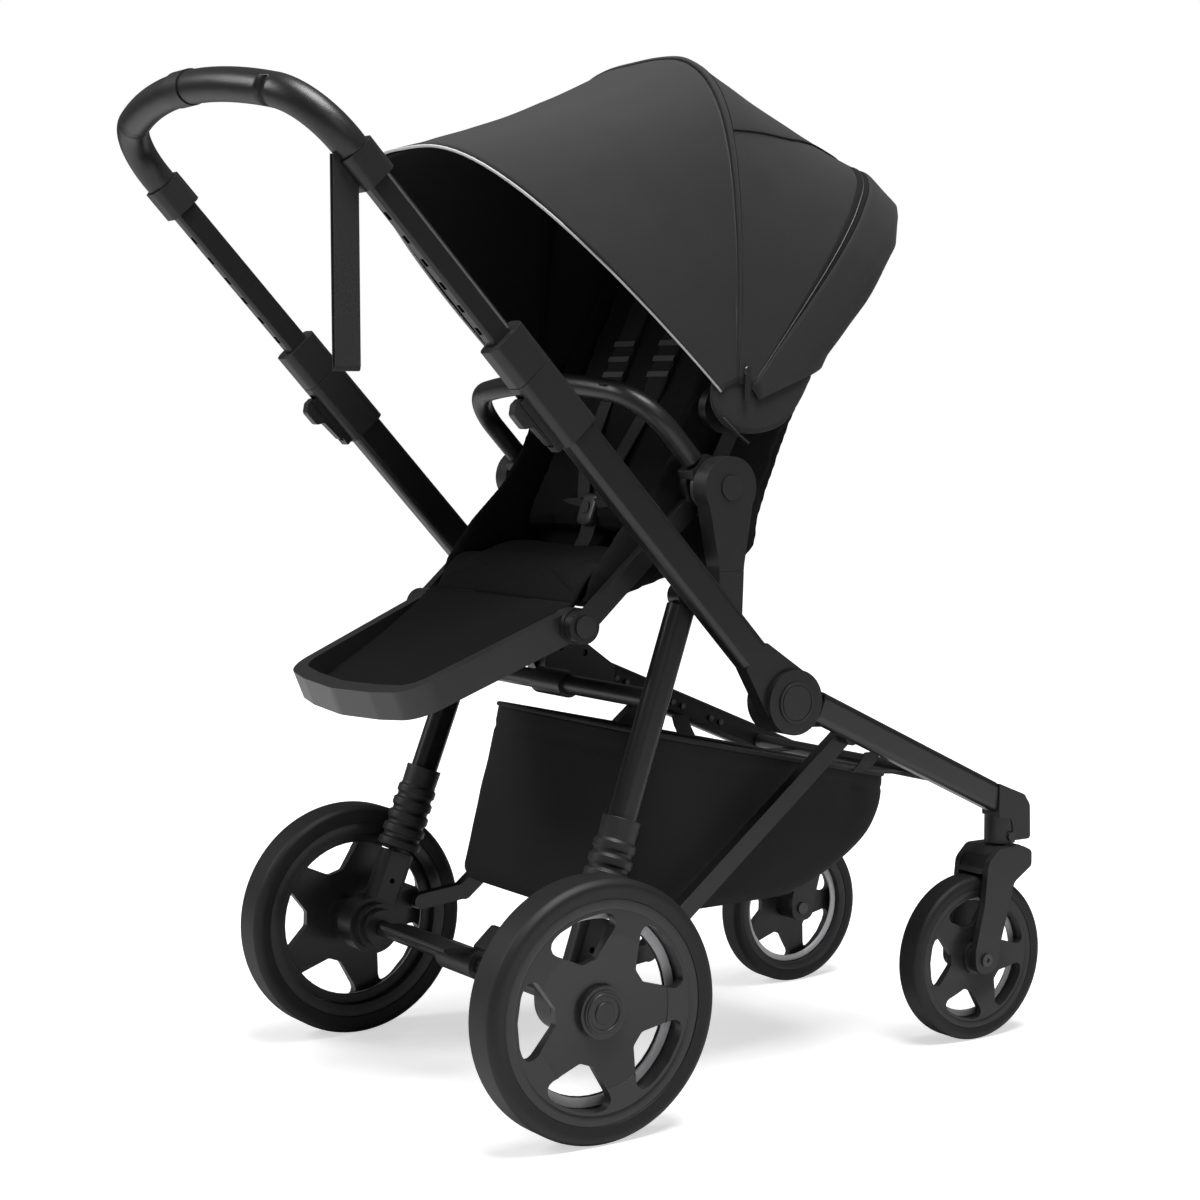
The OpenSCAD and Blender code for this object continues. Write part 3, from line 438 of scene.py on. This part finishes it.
def canopy_sheet():
    rows = []
    angles = sorted(
        list(np.linspace(FRONT_BOW, REAR_HEM, 110))
        + [MID_BOW + d for d in (-1.6, -0.8, 0, 0.8, 1.6)]
        + [127.4 + d for d in (-0.5, -0.15, 0.15, 0.5)]
        + [130.9 + d for d in (-0.5, -0.15, 0.15, 0.5)]
    )
    length = 0
    for a in angles:
        vs, run = even_v(a, 161)
        length = max(length, run)
        row = []
        for v in vs:
            p = canopy_place(a, v)
            row.append(canopy_place(a, v, canopy_out(a, v, p)))
        rows.append(row)
    obj = thick_sheet("canopy_cloth", rows, 2.2 * MM, [LINING, CANOPY], None, "fabric")
    obj.data.update()
    area = sum(f.area for f in obj.data.polygons) / 2
    return obj, length, area


canopy, canopy_length, canopy_area = canopy_sheet()


def fold_with_canopy(obj):
    """Bakes the piece's place into its mesh; it does not turn with the front bow."""
    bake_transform(obj)


fold_with_canopy(canopy)
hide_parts("canopy_front", "canopy_rear", "canopy_bow")


def bow_line(a, out, v0=0.0, v1=1.0, count=80):
    vs, _ = even_v(a, count)
    return [canopy_place(a, v0 + (v1 - v0) * v, out) for v in vs]


piping = tube("canopy_piping", bow_line(FRONT_BOW - 0.1, 0.6), 1.5 * MM, PIPING, None, "steel", 8)
fold_with_canopy(piping)


def canopy_band(name, a0, a1, out, mat, rows=3):
    grid = []
    for a in np.linspace(a0, a1, rows):
        vs, _ = even_v(a, 90)
        grid.append([on_cloth(a, v, out) if out > 0 else canopy_place(a, v, out) for v in vs])
    return thick_sheet(name, grid, 1.0 * MM, [mat, mat], None, "fabric")


hem_band = canopy_band("canopy_hem_band", FRONT_BOW + 0.2, FRONT_BOW + 2.6, -3.6, LINING)
fold_with_canopy(hem_band)
inner_band = canopy_band("canopy_inner_band", MID_BOW - 2.2, MID_BOW + 2.2, -5.5, SEAT_CLOTH)
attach(inner_band, "seat")
ZIP = 129.2
CLOTH = 2.2
zip_tape = canopy_band("canopy_zip_tape", ZIP - 1.5, ZIP + 1.4, CLOTH - 0.2, LINING, 7)
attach(zip_tape, "seat")
zip_line = [on_cloth(ZIP, v, CLOTH + 0.6) for v in even_v(ZIP, 90)[0]]
tube("canopy_zip_teeth", zip_line, 1.1 * MM, PLASTIC, "seat", "plastic", 6)
bow_seam = [on_cloth(MID_BOW + 1.0, v, CLOTH + 0.1) for v in even_v(MID_BOW + 0.9, 90)[0]]
tube("canopy_bow_seam", bow_seam, 0.6 * MM, LINING, "seat", "fabric", 6)


def flap_seam(tag, sign):
    """The seam along one edge of the window flap."""
    edge = []
    for a in np.linspace(92.6, 127, 40):
        edge.append(on_cloth(a, 0.5 + sign * (flap_edge(a) + 0.003), CLOTH + 0.3))
    tube(f"canopy_flap_seam_{tag}", edge, 1.0 * MM, LINING, "seat", "fabric", 6)


def zip_pull(tag, side):
    """The zip's pull and its eye, at the foot of the zip."""
    top = place(side * (CANOPY_HALF + 5.4), CANOPY_HUB[0] - 10, CANOPY_HUB[1] + 34)
    ribbon(
        f"canopy_zip_pull_{tag}", [top, top + Vector((0, 0.001, -0.026))], Vector((0, 0.0034, 0)),
        1.6 * MM, PLASTIC, "seat", "plastic",
    )
    eye = top + Vector((0, 0, 0.004))
    disc(
        f"canopy_zip_eye_{tag}", eye, (1, 0, 0), 4.4 * MM, 2.2 * MM, STEEL_DARK, "seat", "plastic"
    )


for tag, sign in (("left", -1), ("right", 1)):
    flap_seam(tag, sign)
    zip_pull(tag, -sign)


LOBE = [
    (29, 12), (22, -6), (8, -18), (-12, -24), (-37, -23), (-60, -15), (-77, 2), (-90, 22),
    (-94, 36), (-60, 38), (-20, 38), (20, 36),
]


def closed_curve(corners, steps=8):
    """A smooth closed curve through corner points, as Catmull-Rom."""
    n, out = len(corners), []
    for i in range(n):
        p0, p1, p2, p3 = (np.array(corners[(i + k - 1) % n], float) for k in range(4))
        for j in range(steps):
            t = j / steps
            bend = (2 * p0 - 5 * p1 + 4 * p2 - p3) * t**2 + (3 * p1 - p0 - 3 * p2 + p3) * t**3
            out.append(0.5 * (2 * p1 + (p2 - p0) * t + bend))
    return out


def hub_lobe(side, tag):
    """The rounded corner of cloth that hangs over the canopy's pivot: a domed panel, thin at its edge."""
    curve = closed_curve(LOBE)
    n, middle = len(curve), np.array([-28.0, 14.0])
    outer, inner = [], []
    rings = ((1.0, -2.4), (0.97, -1.2), (0.85, -0.4), (0.6, 0.0), (0.3, 0.0))
    for reach, proud in rings:
        for c in curve:
            y, z = middle + (c - middle) * reach
            x = CANOPY_HALF + proud
            outer.append(place(side * x, CANOPY_HUB[0] + y, CANOPY_HUB[1] + z))
            inner.append(place(side * (x - CLOTH), CANOPY_HUB[0] + y, CANOPY_HUB[1] + z))
    count = len(outer)
    skin = grid_faces(len(rings), n, 0, True) + [tuple(range(count - n, count))]
    faces = skin + [tuple(count + i for i in f[::-1]) for f in skin]
    faces += [(j, (j + 1) % n, count + (j + 1) % n, count + j) for j in range(n)]
    make(f"canopy_lobe_{tag}", outer + inner, faces, CANOPY, "seat", "fabric")
    cord = [
        place(side * x, CANOPY_HUB[0] + y, CANOPY_HUB[1] + z)
        for x, y, z in ((186, 18, -8), (187, -2, -26), (186, -14, -34))
    ]
    tube(f"canopy_loop_{tag}", cord, 1.3 * MM, WEBBING, "seat", "fabric", 6)


hub_lobe(1, "left")
hub_lobe(-1, "right")

# ---- padded seat ----


def copy_of(name, new_name, shrink=0.0):
    """A new mesh object with a CAD node's shape, drawn in by shrink along its normals."""
    obj = bpy.data.objects.new(new_name, NODES[name].data.copy())
    bpy.context.scene.collection.objects.link(obj)
    b = bmesh.new()
    b.from_mesh(obj.data)
    bmesh.ops.remove_doubles(b, verts=b.verts, dist=0.00002)
    bmesh.ops.recalc_face_normals(b, faces=b.faces)
    b.to_mesh(obj.data)
    b.free()
    obj.data.materials.clear()
    obj.modifiers.clear()
    if shrink:
        push(obj, -shrink)
    return obj


def push(obj, distance):
    b = bmesh.new()
    b.from_mesh(obj.data)
    b.normal_update()
    for v in b.verts:
        v.co += v.normal * distance
    b.to_mesh(obj.data)
    b.free()


def apply_all(obj):
    graph = bpy.context.evaluated_depsgraph_get()
    mesh = bpy.data.meshes.new_from_object(obj.evaluated_get(graph))
    obj.modifiers.clear()
    obj.data = mesh


def remesh(obj, size):
    mod = obj.modifiers.new("remesh", "REMESH")
    mod.mode = "VOXEL"
    mod.voxel_size = size
    mod.use_smooth_shade = True
    apply_all(obj)


def relax(obj, steps, factor=0.5):
    mod = obj.modifiers.new("relax", "SMOOTH")
    mod.factor = factor
    mod.iterations = steps
    apply_all(obj)


def inflate(obj, cap, pressure=4.0, frames=20):
    """A short cloth simulation that swells the piece; no point moves more than cap."""
    rest = np.array([tuple(v.co) for v in obj.data.vertices])
    mod = obj.modifiers.new("cloth", "CLOTH")
    mod.settings.use_pressure = True
    mod.settings.uniform_pressure_force = pressure
    mod.settings.effector_weights.gravity = 0
    mod.settings.quality = 4
    mod.collision_settings.use_collision = False
    mod.point_cache.frame_end = frames
    scene = bpy.context.scene
    for f in range(1, frames + 1):
        scene.frame_set(f)
    graph = bpy.context.evaluated_depsgraph_get()
    mesh = bpy.data.meshes.new_from_object(obj.evaluated_get(graph))
    moved = np.array([tuple(v.co) for v in mesh.vertices])
    step = moved - rest
    length = np.linalg.norm(step, axis=1, keepdims=True)
    step *= np.minimum(1, cap / np.maximum(length, 1e-9))
    mesh.vertices.foreach_set("co", (rest + step).ravel())
    obj.modifiers.clear()
    obj.data = mesh
    scene.frame_set(1)


def subdivide(obj):
    mod = obj.modifiers.new("fine", "SUBSURF")
    mod.levels = 1
    mod.render_levels = 1
    apply_all(obj)


def finish_soft(obj, mat, body, replaced):
    obj.data.materials.clear()
    obj.data.materials.append(mat)
    obj.data.polygons.foreach_set("use_smooth", [True] * len(obj.data.polygons))
    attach(obj, body)
    if replaced:
        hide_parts(*replaced)
    return obj


def sew(obj, lines, depth, width):
    """Presses stitched channels into a pad: each line is a pair of places, and the cloth sinks beside it."""
    co = np.array([tuple(v.co) for v in obj.data.vertices])
    normals = np.array([tuple(v.normal) for v in obj.data.vertices])
    for p, q in lines:
        p, q = np.array(p), np.array(q)
        d = q - p
        t = np.clip(((co - p) @ d) / (d @ d), 0, 1)
        gap = np.linalg.norm(co - (p + t[:, None] * d), axis=1)
        co -= normals * (depth * np.exp(-((gap / width) ** 2)))[:, None]
    obj.data.vertices.foreach_set("co", co.ravel())
    obj.data.update()


def back_place(x, depth, up):
    """A place on the backrest pad's face: across, forward of its back, and up along it, in millimetres."""
    y = -171 + depth * math.cos(BACK_LEAN) - up * math.sin(BACK_LEAN)
    return place(x, y, 548 + depth * math.sin(BACK_LEAN) + up * math.cos(BACK_LEAN))


shell = copy_of("seat_shell", "seat_body", 1.5 * MM)
remesh(shell, 5 * MM)
relax(shell, 6)
inflate(shell, 4 * MM)
subdivide(shell)
finish_soft(shell, SEAT_CLOTH, "seat", ["seat_shell"])

cushion = copy_of("seat_pad", "seat_cushion", 2 * MM)
remesh(cushion, 5 * MM)
relax(cushion, 3)
inflate(cushion, 9 * MM)
subdivide(cushion)
sew(cushion, [(place(-120, -100, 537), place(120, -100, 537))], 3 * MM, 5 * MM)
finish_soft(cushion, SEAT_CLOTH, "seat", ["seat_pad"])

backrest = copy_of("backrest_pad", "backrest_cushion", 2 * MM)
remesh(backrest, 5 * MM)
relax(backrest, 3)
inflate(backrest, 9 * MM)
subdivide(backrest)
sew(
    backrest,
    [
        (back_place(-118, 22, 150), back_place(118, 22, 150)),
        (back_place(-70, 22, 10), back_place(-70, 22, 340)),
        (back_place(70, 22, 10), back_place(70, 22, 340)),
    ],
    3 * MM, 5 * MM,
)
finish_soft(backrest, SEAT_CLOTH, "seat", ["backrest_pad"])

# ---- harness ----


def pad_block(name, middle, axes, size, mat, body, replaced=()):
    """A small stuffed pad: a rounded box of that size, with its own axes."""
    b = bmesh.new()
    bmesh.ops.create_cube(b, size=1)
    bmesh.ops.subdivide_edges(b, edges=b.edges, cuts=5, use_grid_fill=True)
    for v in b.verts:
        p = np.array(v.co) * 2
        q = np.abs(p) ** 6
        r = q.sum() ** (1 / 6)
        p = p / max(r, 1e-9) * max(abs(p))
        v.co = middle + sum((axes[k] * (p[k] * size[k] / 2) for k in range(3)), Vector())
    mesh = bpy.data.meshes.new(name)
    b.to_mesh(mesh)
    b.free()
    obj = bpy.data.objects.new(name, mesh)
    bpy.context.scene.collection.objects.link(obj)
    subdivide(obj)
    return finish_soft(obj, mat, body, replaced)


SIDE = Vector((1, 0, 0))
UP_BACK = (back_place(0, 0, 1) - back_place(0, 0, 0)).normalized()
OUT_BACK = (back_place(0, 1, 0) - back_place(0, 0, 0)).normalized()
for tag, side in (("left", 1), ("right", -1)):
    pad = pad_block(
        f"shoulder_pad_{tag}", back_place(side * 42, 30, 215), (SIDE, OUT_BACK, UP_BACK),
        (38 * MM, 9 * MM, 130 * MM), LINING, "seat", ["harness"] if side > 0 else (),
    )
    for k in range(3):
        up = 180 + 18 * k
        ribbon(
            f"shoulder_stripe_{tag}_{k}",
            [back_place(side * 42 - 19, 35.2, up), back_place(side * 42 + 19, 35.2, up)],
            UP_BACK * 3 * MM, 0.8 * MM, STRIPE, "seat", "fabric",
        )
    ribbon(
        f"shoulder_strap_{tag}",
        [
            back_place(side * 42, 26, 322), back_place(side * 42, 29, 290), back_place(side * 42, 30, 150),
            back_place(side * 30, 36, 80), place(side * 12, -158, 592),
        ],
        SIDE * 11 * MM, 1.6 * MM, WEBBING, "seat", "fabric",
    )
    ribbon(
        f"waist_strap_{tag}",
        [
            place(side * 128, -176, 566), place(side * 90, -168, 578), place(side * 40, -160, 584),
            place(side * 12, -158, 586),
        ],
        Vector((0, 0.002, 0.011)), 1.6 * MM, WEBBING, "seat", "fabric",
    )
ribbon(
    "crotch_strap", [place(0, -132, 541), place(0, -146, 545), place(0, -153, 556), place(0, -158, 572)],
    SIDE * 13 * MM, 1.8 * MM, WEBBING, "seat", "fabric",
)
pad_block(
    "harness_buckle_body", place(0, -158, 585), (SIDE, Vector((0, 0.94, 0.34)), Vector((0, -0.34, 0.94))),
    (30 * MM, 11 * MM, 34 * MM), PLASTIC, "seat", ["harness_buckle"],
)
disc(
    "harness_buckle_button", place(0, -152.6, 587), (0, 0.94, 0.34), 7 * MM, 2.4 * MM,
    SOFT_PLASTIC, "seat", "plastic",
)

# ---- basket ----

BASKET_REAR, BASKET_FRONT = (-116, -70), (-458, -340)
BASKET_HALF, BASKET_FLOOR = 159, 184
CORNER = 0.28


def basket_place(k, turn, out=0.0):
    """Depth k from 0 at the rim to 1 at the floor, and turn in degrees round it from the left."""
    rear = BASKET_REAR[0] + (BASKET_REAR[1] - BASKET_REAR[0]) * k + out
    front = BASKET_FRONT[0] + (BASKET_FRONT[1] - BASKET_FRONT[0]) * k**3 - out
    half, mid, long = BASKET_HALF + out, (rear + front) / 2, (rear - front) / 2
    c, s = math.cos(math.radians(turn)), math.sin(math.radians(turn))
    x = half * math.copysign(abs(c) ** CORNER, c)
    y = mid + long * math.copysign(abs(s) ** CORNER, s)
    if y < mid:
        x *= 1 - 0.04 * (mid - y) / long
    rim = 294 + (y - BASKET_FRONT[0]) * 0.224
    return place(x, y, rim + (BASKET_FLOOR - rim) * k)


def even_turns(k, count):
    fine = list(np.linspace(0, 360, 721))
    line = [basket_place(k, t) for t in fine]
    run = np.concatenate([[0], np.cumsum([(q - p).length for p, q in zip(line, line[1:])])])
    return np.interp(np.linspace(0, run[-1], count + 1)[:-1], run, fine)


def basket_sheet():
    rows = []
    depths = list(np.linspace(0, 0.94, 30)) + [0.965, 0.985, 1.0]
    count = 160
    turns = even_turns(0.3, count)
    for k in depths:
        row = []
        for t in turns:
            p = basket_place(k, t)
            sag = 1.5 * soft_noise(p, 10, 1.3) + 0.7 * soft_noise(p, 30, 5.2)
            hem = -0.9 * math.exp(-(((k - 0.13) / 0.012) ** 2))
            tuck = -3.0 if k > 0.97 else -0.8 if k > 0.95 else 0
            row.append(basket_place(k, t, sag * math.sin(math.pi * min(1, k * 1.1)) + hem + tuck - 1.2))
        rows.append(row)
    centre = place(0, -205, BASKET_FLOOR)
    for shrink in (0.9, 0.6, 0.3, 0.02):
        rows.append([centre + (p - centre) * shrink for p in rows[32]])
    obj = thick_sheet("basket_cloth", rows, 1.8 * MM, [BASKET_CLOTH, LINING], "chassis", "fabric", wrap=True)
    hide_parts("basket")
    return obj, count, turns


basket, basket_count, basket_turns = basket_sheet()
rim_line = [basket_place(0, t, -1.0) for t in basket_turns]
tube("basket_binding", rim_line, 2.6 * MM, WEBBING, "chassis", "fabric", 8, closed=True)
for tag, side in (("left", 1), ("right", -1)):
    ribbon(
        f"basket_front_strap_{tag}",
        [place(side * 96, -452, 294), place(side * 99, -476, 292), place(side * 101, -496, 291)],
        SIDE * 10 * MM, 1.6 * MM, WEBBING, "chassis", "fabric",
    )
    ribbon(
        f"basket_side_tab_{tag}",
        [place(side * 157, -395, 307), place(side * 170, -396, 320), place(side * 176, -397, 330)],
        Vector((0, 0.011, 0)), 1.6 * MM, WEBBING, "chassis", "fabric",
    )

# ---- footrest ----

FOOT_SLOPE = math.radians(22.4)


def foot_place(x, out, up):
    """A place on the footrest: across, out from its hub along it, and up from its middle plane."""
    y = FOOT_HUB[0] + out * math.cos(FOOT_SLOPE) + up * math.sin(FOOT_SLOPE)
    return place(x, y, FOOT_HUB[1] - out * math.sin(FOOT_SLOPE) + up * math.cos(FOOT_SLOPE))


FOOT_PROFILE = [(-12, 15), (0, 16), (14, 14), (60, 6), (110, -1), (150, -6), (172, -7), (182, -3)]


def footrest_cloth():
    """The calf panel: it leaves the seat's front edge, and sinks inside the rim towards the toes."""
    rows = []
    for t in np.linspace(0, 1, 48):
        out = -12 + 194 * t
        up = float(np.interp(out, *zip(*FOOT_PROFILE)))
        half = 135 + (112 - 135) * max(0, out) / 182
        half -= 22 * max(0, (out - 146) / 36) ** 3
        row = []
        for w in np.linspace(-1, 1, 57):
            sag = 6 * (1 - abs(w) ** 2.4) * math.sin(math.pi * min(1, max(0, (out + 4) / 200)))
            tuck = -7 * max(0, (abs(w) - 0.93) / 0.07) ** 2 * min(1, max(0, out) / 30)
            p = foot_place(half * w, out + (4 * (1 - w * w) if out > 120 else 0), up - sag + tuck)
            row.append(p + Vector((0, 0, 0.0012 * soft_noise(p, 12, 9.1))))
        rows.append(row)
    obj = thick_sheet("footrest_cloth", rows, 2.4 * MM, [SEAT_CLOTH, SEAT_CLOTH], None, "fabric")
    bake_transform(obj)
    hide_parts("footrest_panel")
    seam = [foot_place(133 * w, -12, 16.4) for w in np.linspace(-1, 1, 30)]
    tube("calf_seam", seam, 1.2 * MM, LINING, "seat", "fabric", 6)


def calf_flap():
    """The cloth from the cushion's front seam down over the seat's front edge."""
    rows = []
    for y, z in ((-92, 534), (-84, 533), (-76, 530), (-68, 523), (-60, 512), (-54, 502), (-51, 496)):
        rows.append([place(135 * w, y, z + 2.0 * (1 - w * w)) for w in np.linspace(-1, 1, 41)])
    obj = thick_sheet("calf_flap", rows, 3.0 * MM, [SEAT_CLOTH, SEAT_CLOTH], "seat", "fabric")
    seam = [place(134 * w, -86, 535.4 + 2.0 * (1 - w * w)) for w in np.linspace(-1, 1, 30)]
    tube("cushion_seam", seam, 1.1 * MM, LINING, "seat", "fabric", 6)


calf_flap()
footrest_cloth()

# ---- handlebar details ----


def strap_loop():
    """The wrist strap: webbing doubled under the right grip."""
    x, top, bottom = -SLIDER_X, 916, 727
    y = 234.5
    drop = top - bottom - 4
    path = [place(x + 2.6, y, top)]
    path += [place(x + 2.6, y, top - drop * k / 10) for k in range(1, 11)]
    for k in range(7):
        turn = math.pi * k / 6
        path.append(place(x + 2.0 * math.cos(turn), y, bottom + 2 - 2 * math.sin(turn)))
    path += [place(x - 2.6, y, bottom + 4 + drop * k / 10) for k in range(11)]
    obj = ribbon(
        "wrist_strap_webbing", path, Vector((0, 12.5 * MM, 0)), 1.6 * MM, WEBBING, "handlebar", "fabric"
    )
    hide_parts("wrist_strap")


strap_loop()
for tag, side in (("left", 1), ("right", -1)):
    y0, z0 = up_handle(492, -9.0)
    y1, z1 = up_handle(GRIP_START - 12, -9.0)
    ribbon(
        f"slider_edge_{tag}",
        [place(side * (SLIDER_X + 7.95), y0, z0), place(side * (SLIDER_X + 7.95), y1, z1)],
        Vector((0, -1.1 * MM * math.sin(HANDLE_SLOPE), 1.1 * MM * math.cos(HANDLE_SLOPE))),
        0.35 * MM, POLISHED, "handlebar", "steel",
    )

# ---- wheels ----


def wheel_trim(tag, side, track, y, radius, body, hub_x, backed):
    """The pale ring behind the spokes, with a dark back where one hides it, and the hub's cap."""
    middle = Vector((side * track, y, radius))
    ring_at = middle - Vector((side * 0.004, 0, 0))

    def trim(part, at, outer, thick, mat, inner=0.0):
        disc(
            f"{tag}_{part}", at, (1, 0, 0), radius * outer, thick, mat, body, "plastic",
            ring=radius * inner,
        )

    trim("reflector", ring_at, 0.752, 3 * MM, PALE, 0.675)
    if backed:
        trim("ring_back", ring_at - Vector((side * 0.0035, 0, 0)), 0.753, 3 * MM, PLASTIC, 0.67)
    cap = middle + Vector((side * hub_x, 0, 0))
    trim("cap_ring", cap, 0.155, 1.6 * MM, PLASTIC, 0.125)
    trim("cap", cap, 0.085, 2.0 * MM, PLASTIC)


for tag, side in (("left", 1), ("right", -1)):
    rear, front = f"rear_wheel_{tag}", f"front_wheel_{tag}"
    wheel_trim(rear, side, REAR_TRACK, AXLE_Y, REAR_R, rear, 0.0205, True)
    wheel_trim(front, side, FRONT_TRACK, FRONT_Y, FRONT_R, front, 0.012, False)

# ---- stage, light and camera ----

FLOOR_HALF = 60.0


def pale_floor():
    """A white floor that glows a little to the camera only, so that its far edge isn't seen; the glow is
    weaker near the object, which paints shade on the floor around it.
    """
    m = material("pale_floor", (0.8, 0.8, 0.8), 0.9)
    t = m.node_tree
    glow, path, where, away, fade, scale, both = (
        t.nodes.new("ShaderNode" + kind)
        for kind in ("Emission", "LightPath", "TexCoord", "VectorMath", "MapRange", "Math", "AddShader")
    )
    away.operation = "LENGTH"
    scale.operation = "MULTIPLY"
    # painted shade: the glow falls from 0.95 far off to 0.6 near the object, so the floor is darker round it
    fade.inputs["From Min"].default_value = 0.7
    fade.inputs["From Max"].default_value = 3.0
    fade.inputs["To Min"].default_value = 0.6
    fade.inputs["To Max"].default_value = 0.95
    t.links.new(where.outputs["Object"], away.inputs[0])
    t.links.new(away.outputs["Value"], fade.inputs["Value"])
    t.links.new(fade.outputs["Result"], scale.inputs[1])
    t.links.new(path.outputs["Is Camera Ray"], scale.inputs[0])
    t.links.new(scale.outputs[0], glow.inputs["Strength"])
    t.links.new(t.nodes["Principled BSDF"].outputs[0], both.inputs[0])
    t.links.new(glow.outputs[0], both.inputs[1])
    t.links.new(both.outputs[0], t.nodes["Material Output"].inputs["Surface"])
    return m


corners = [(x * FLOOR_HALF, y * FLOOR_HALF, 0) for x, y in ((-1, -1), (1, -1), (1, 1), (-1, 1))]
floor = make("floor", corners, [(0, 1, 2, 3)], pale_floor(), None, None, smooth=False)


def area_light(name, spot, target, size, watts):
    data = bpy.data.lights.new(name, "AREA")
    data.shape = "DISK"
    data.size = size
    data.energy = watts
    obj = bpy.data.objects.new(name, data)
    bpy.context.scene.collection.objects.link(obj)
    obj.location = spot
    obj.rotation_mode = "QUATERNION"
    obj.rotation_quaternion = (Vector(target) - Vector(spot)).to_track_quat("-Z", "Y")


MIDDLE = (0, 0, 0.5)
area_light("key", (-1.0, 0.1, 3.9), MIDDLE, 2.4, 190)
area_light("side", (-3.6, 0.6, 2.6), MIDDLE, 2.0, 10)
area_light("rim", (1.6, 2.6, 2.4), MIDDLE, 1.6, 45)

world = bpy.data.worlds.new("studio")
world.use_nodes = True
sky = world.node_tree.nodes["Background"]
sky.inputs["Color"].default_value = (1, 1, 1, 1)
seen = world.node_tree.nodes.new("ShaderNodeLightPath")
level = world.node_tree.nodes.new("ShaderNodeMapRange")
level.inputs["To Min"].default_value = 0.11
level.inputs["To Max"].default_value = 1.0
world.node_tree.links.new(seen.outputs["Is Camera Ray"], level.inputs["Value"])
world.node_tree.links.new(level.outputs["Result"], sky.inputs["Strength"])
bpy.context.scene.world = world
bpy.context.scene.view_settings.view_transform = "Standard"

CAMERA_AZIMUTH, CAMERA_ELEVATION, CAMERA_ROLL = 236.687, 4.878, -0.135
camera_data = bpy.data.cameras.new("camera")
camera_data.lens = 73.28
camera_data.sensor_width = 36
camera = bpy.data.objects.new("camera", camera_data)
bpy.context.scene.collection.objects.link(camera)
a, e = math.radians(CAMERA_AZIMUTH), math.radians(CAMERA_ELEVATION)
back = Vector((math.sin(a) * math.cos(e), -math.cos(a) * math.cos(e), math.sin(e)))
camera.location = (-2.14345, 1.23832 + AXLE_Y, 0.70785)
camera.rotation_mode = "QUATERNION"
roll = Matrix.Rotation(math.radians(CAMERA_ROLL), 3, "Z").to_quaternion()
camera.rotation_quaternion = (-back).to_track_quat("-Z", "Y") @ roll
bpy.context.scene.camera = camera
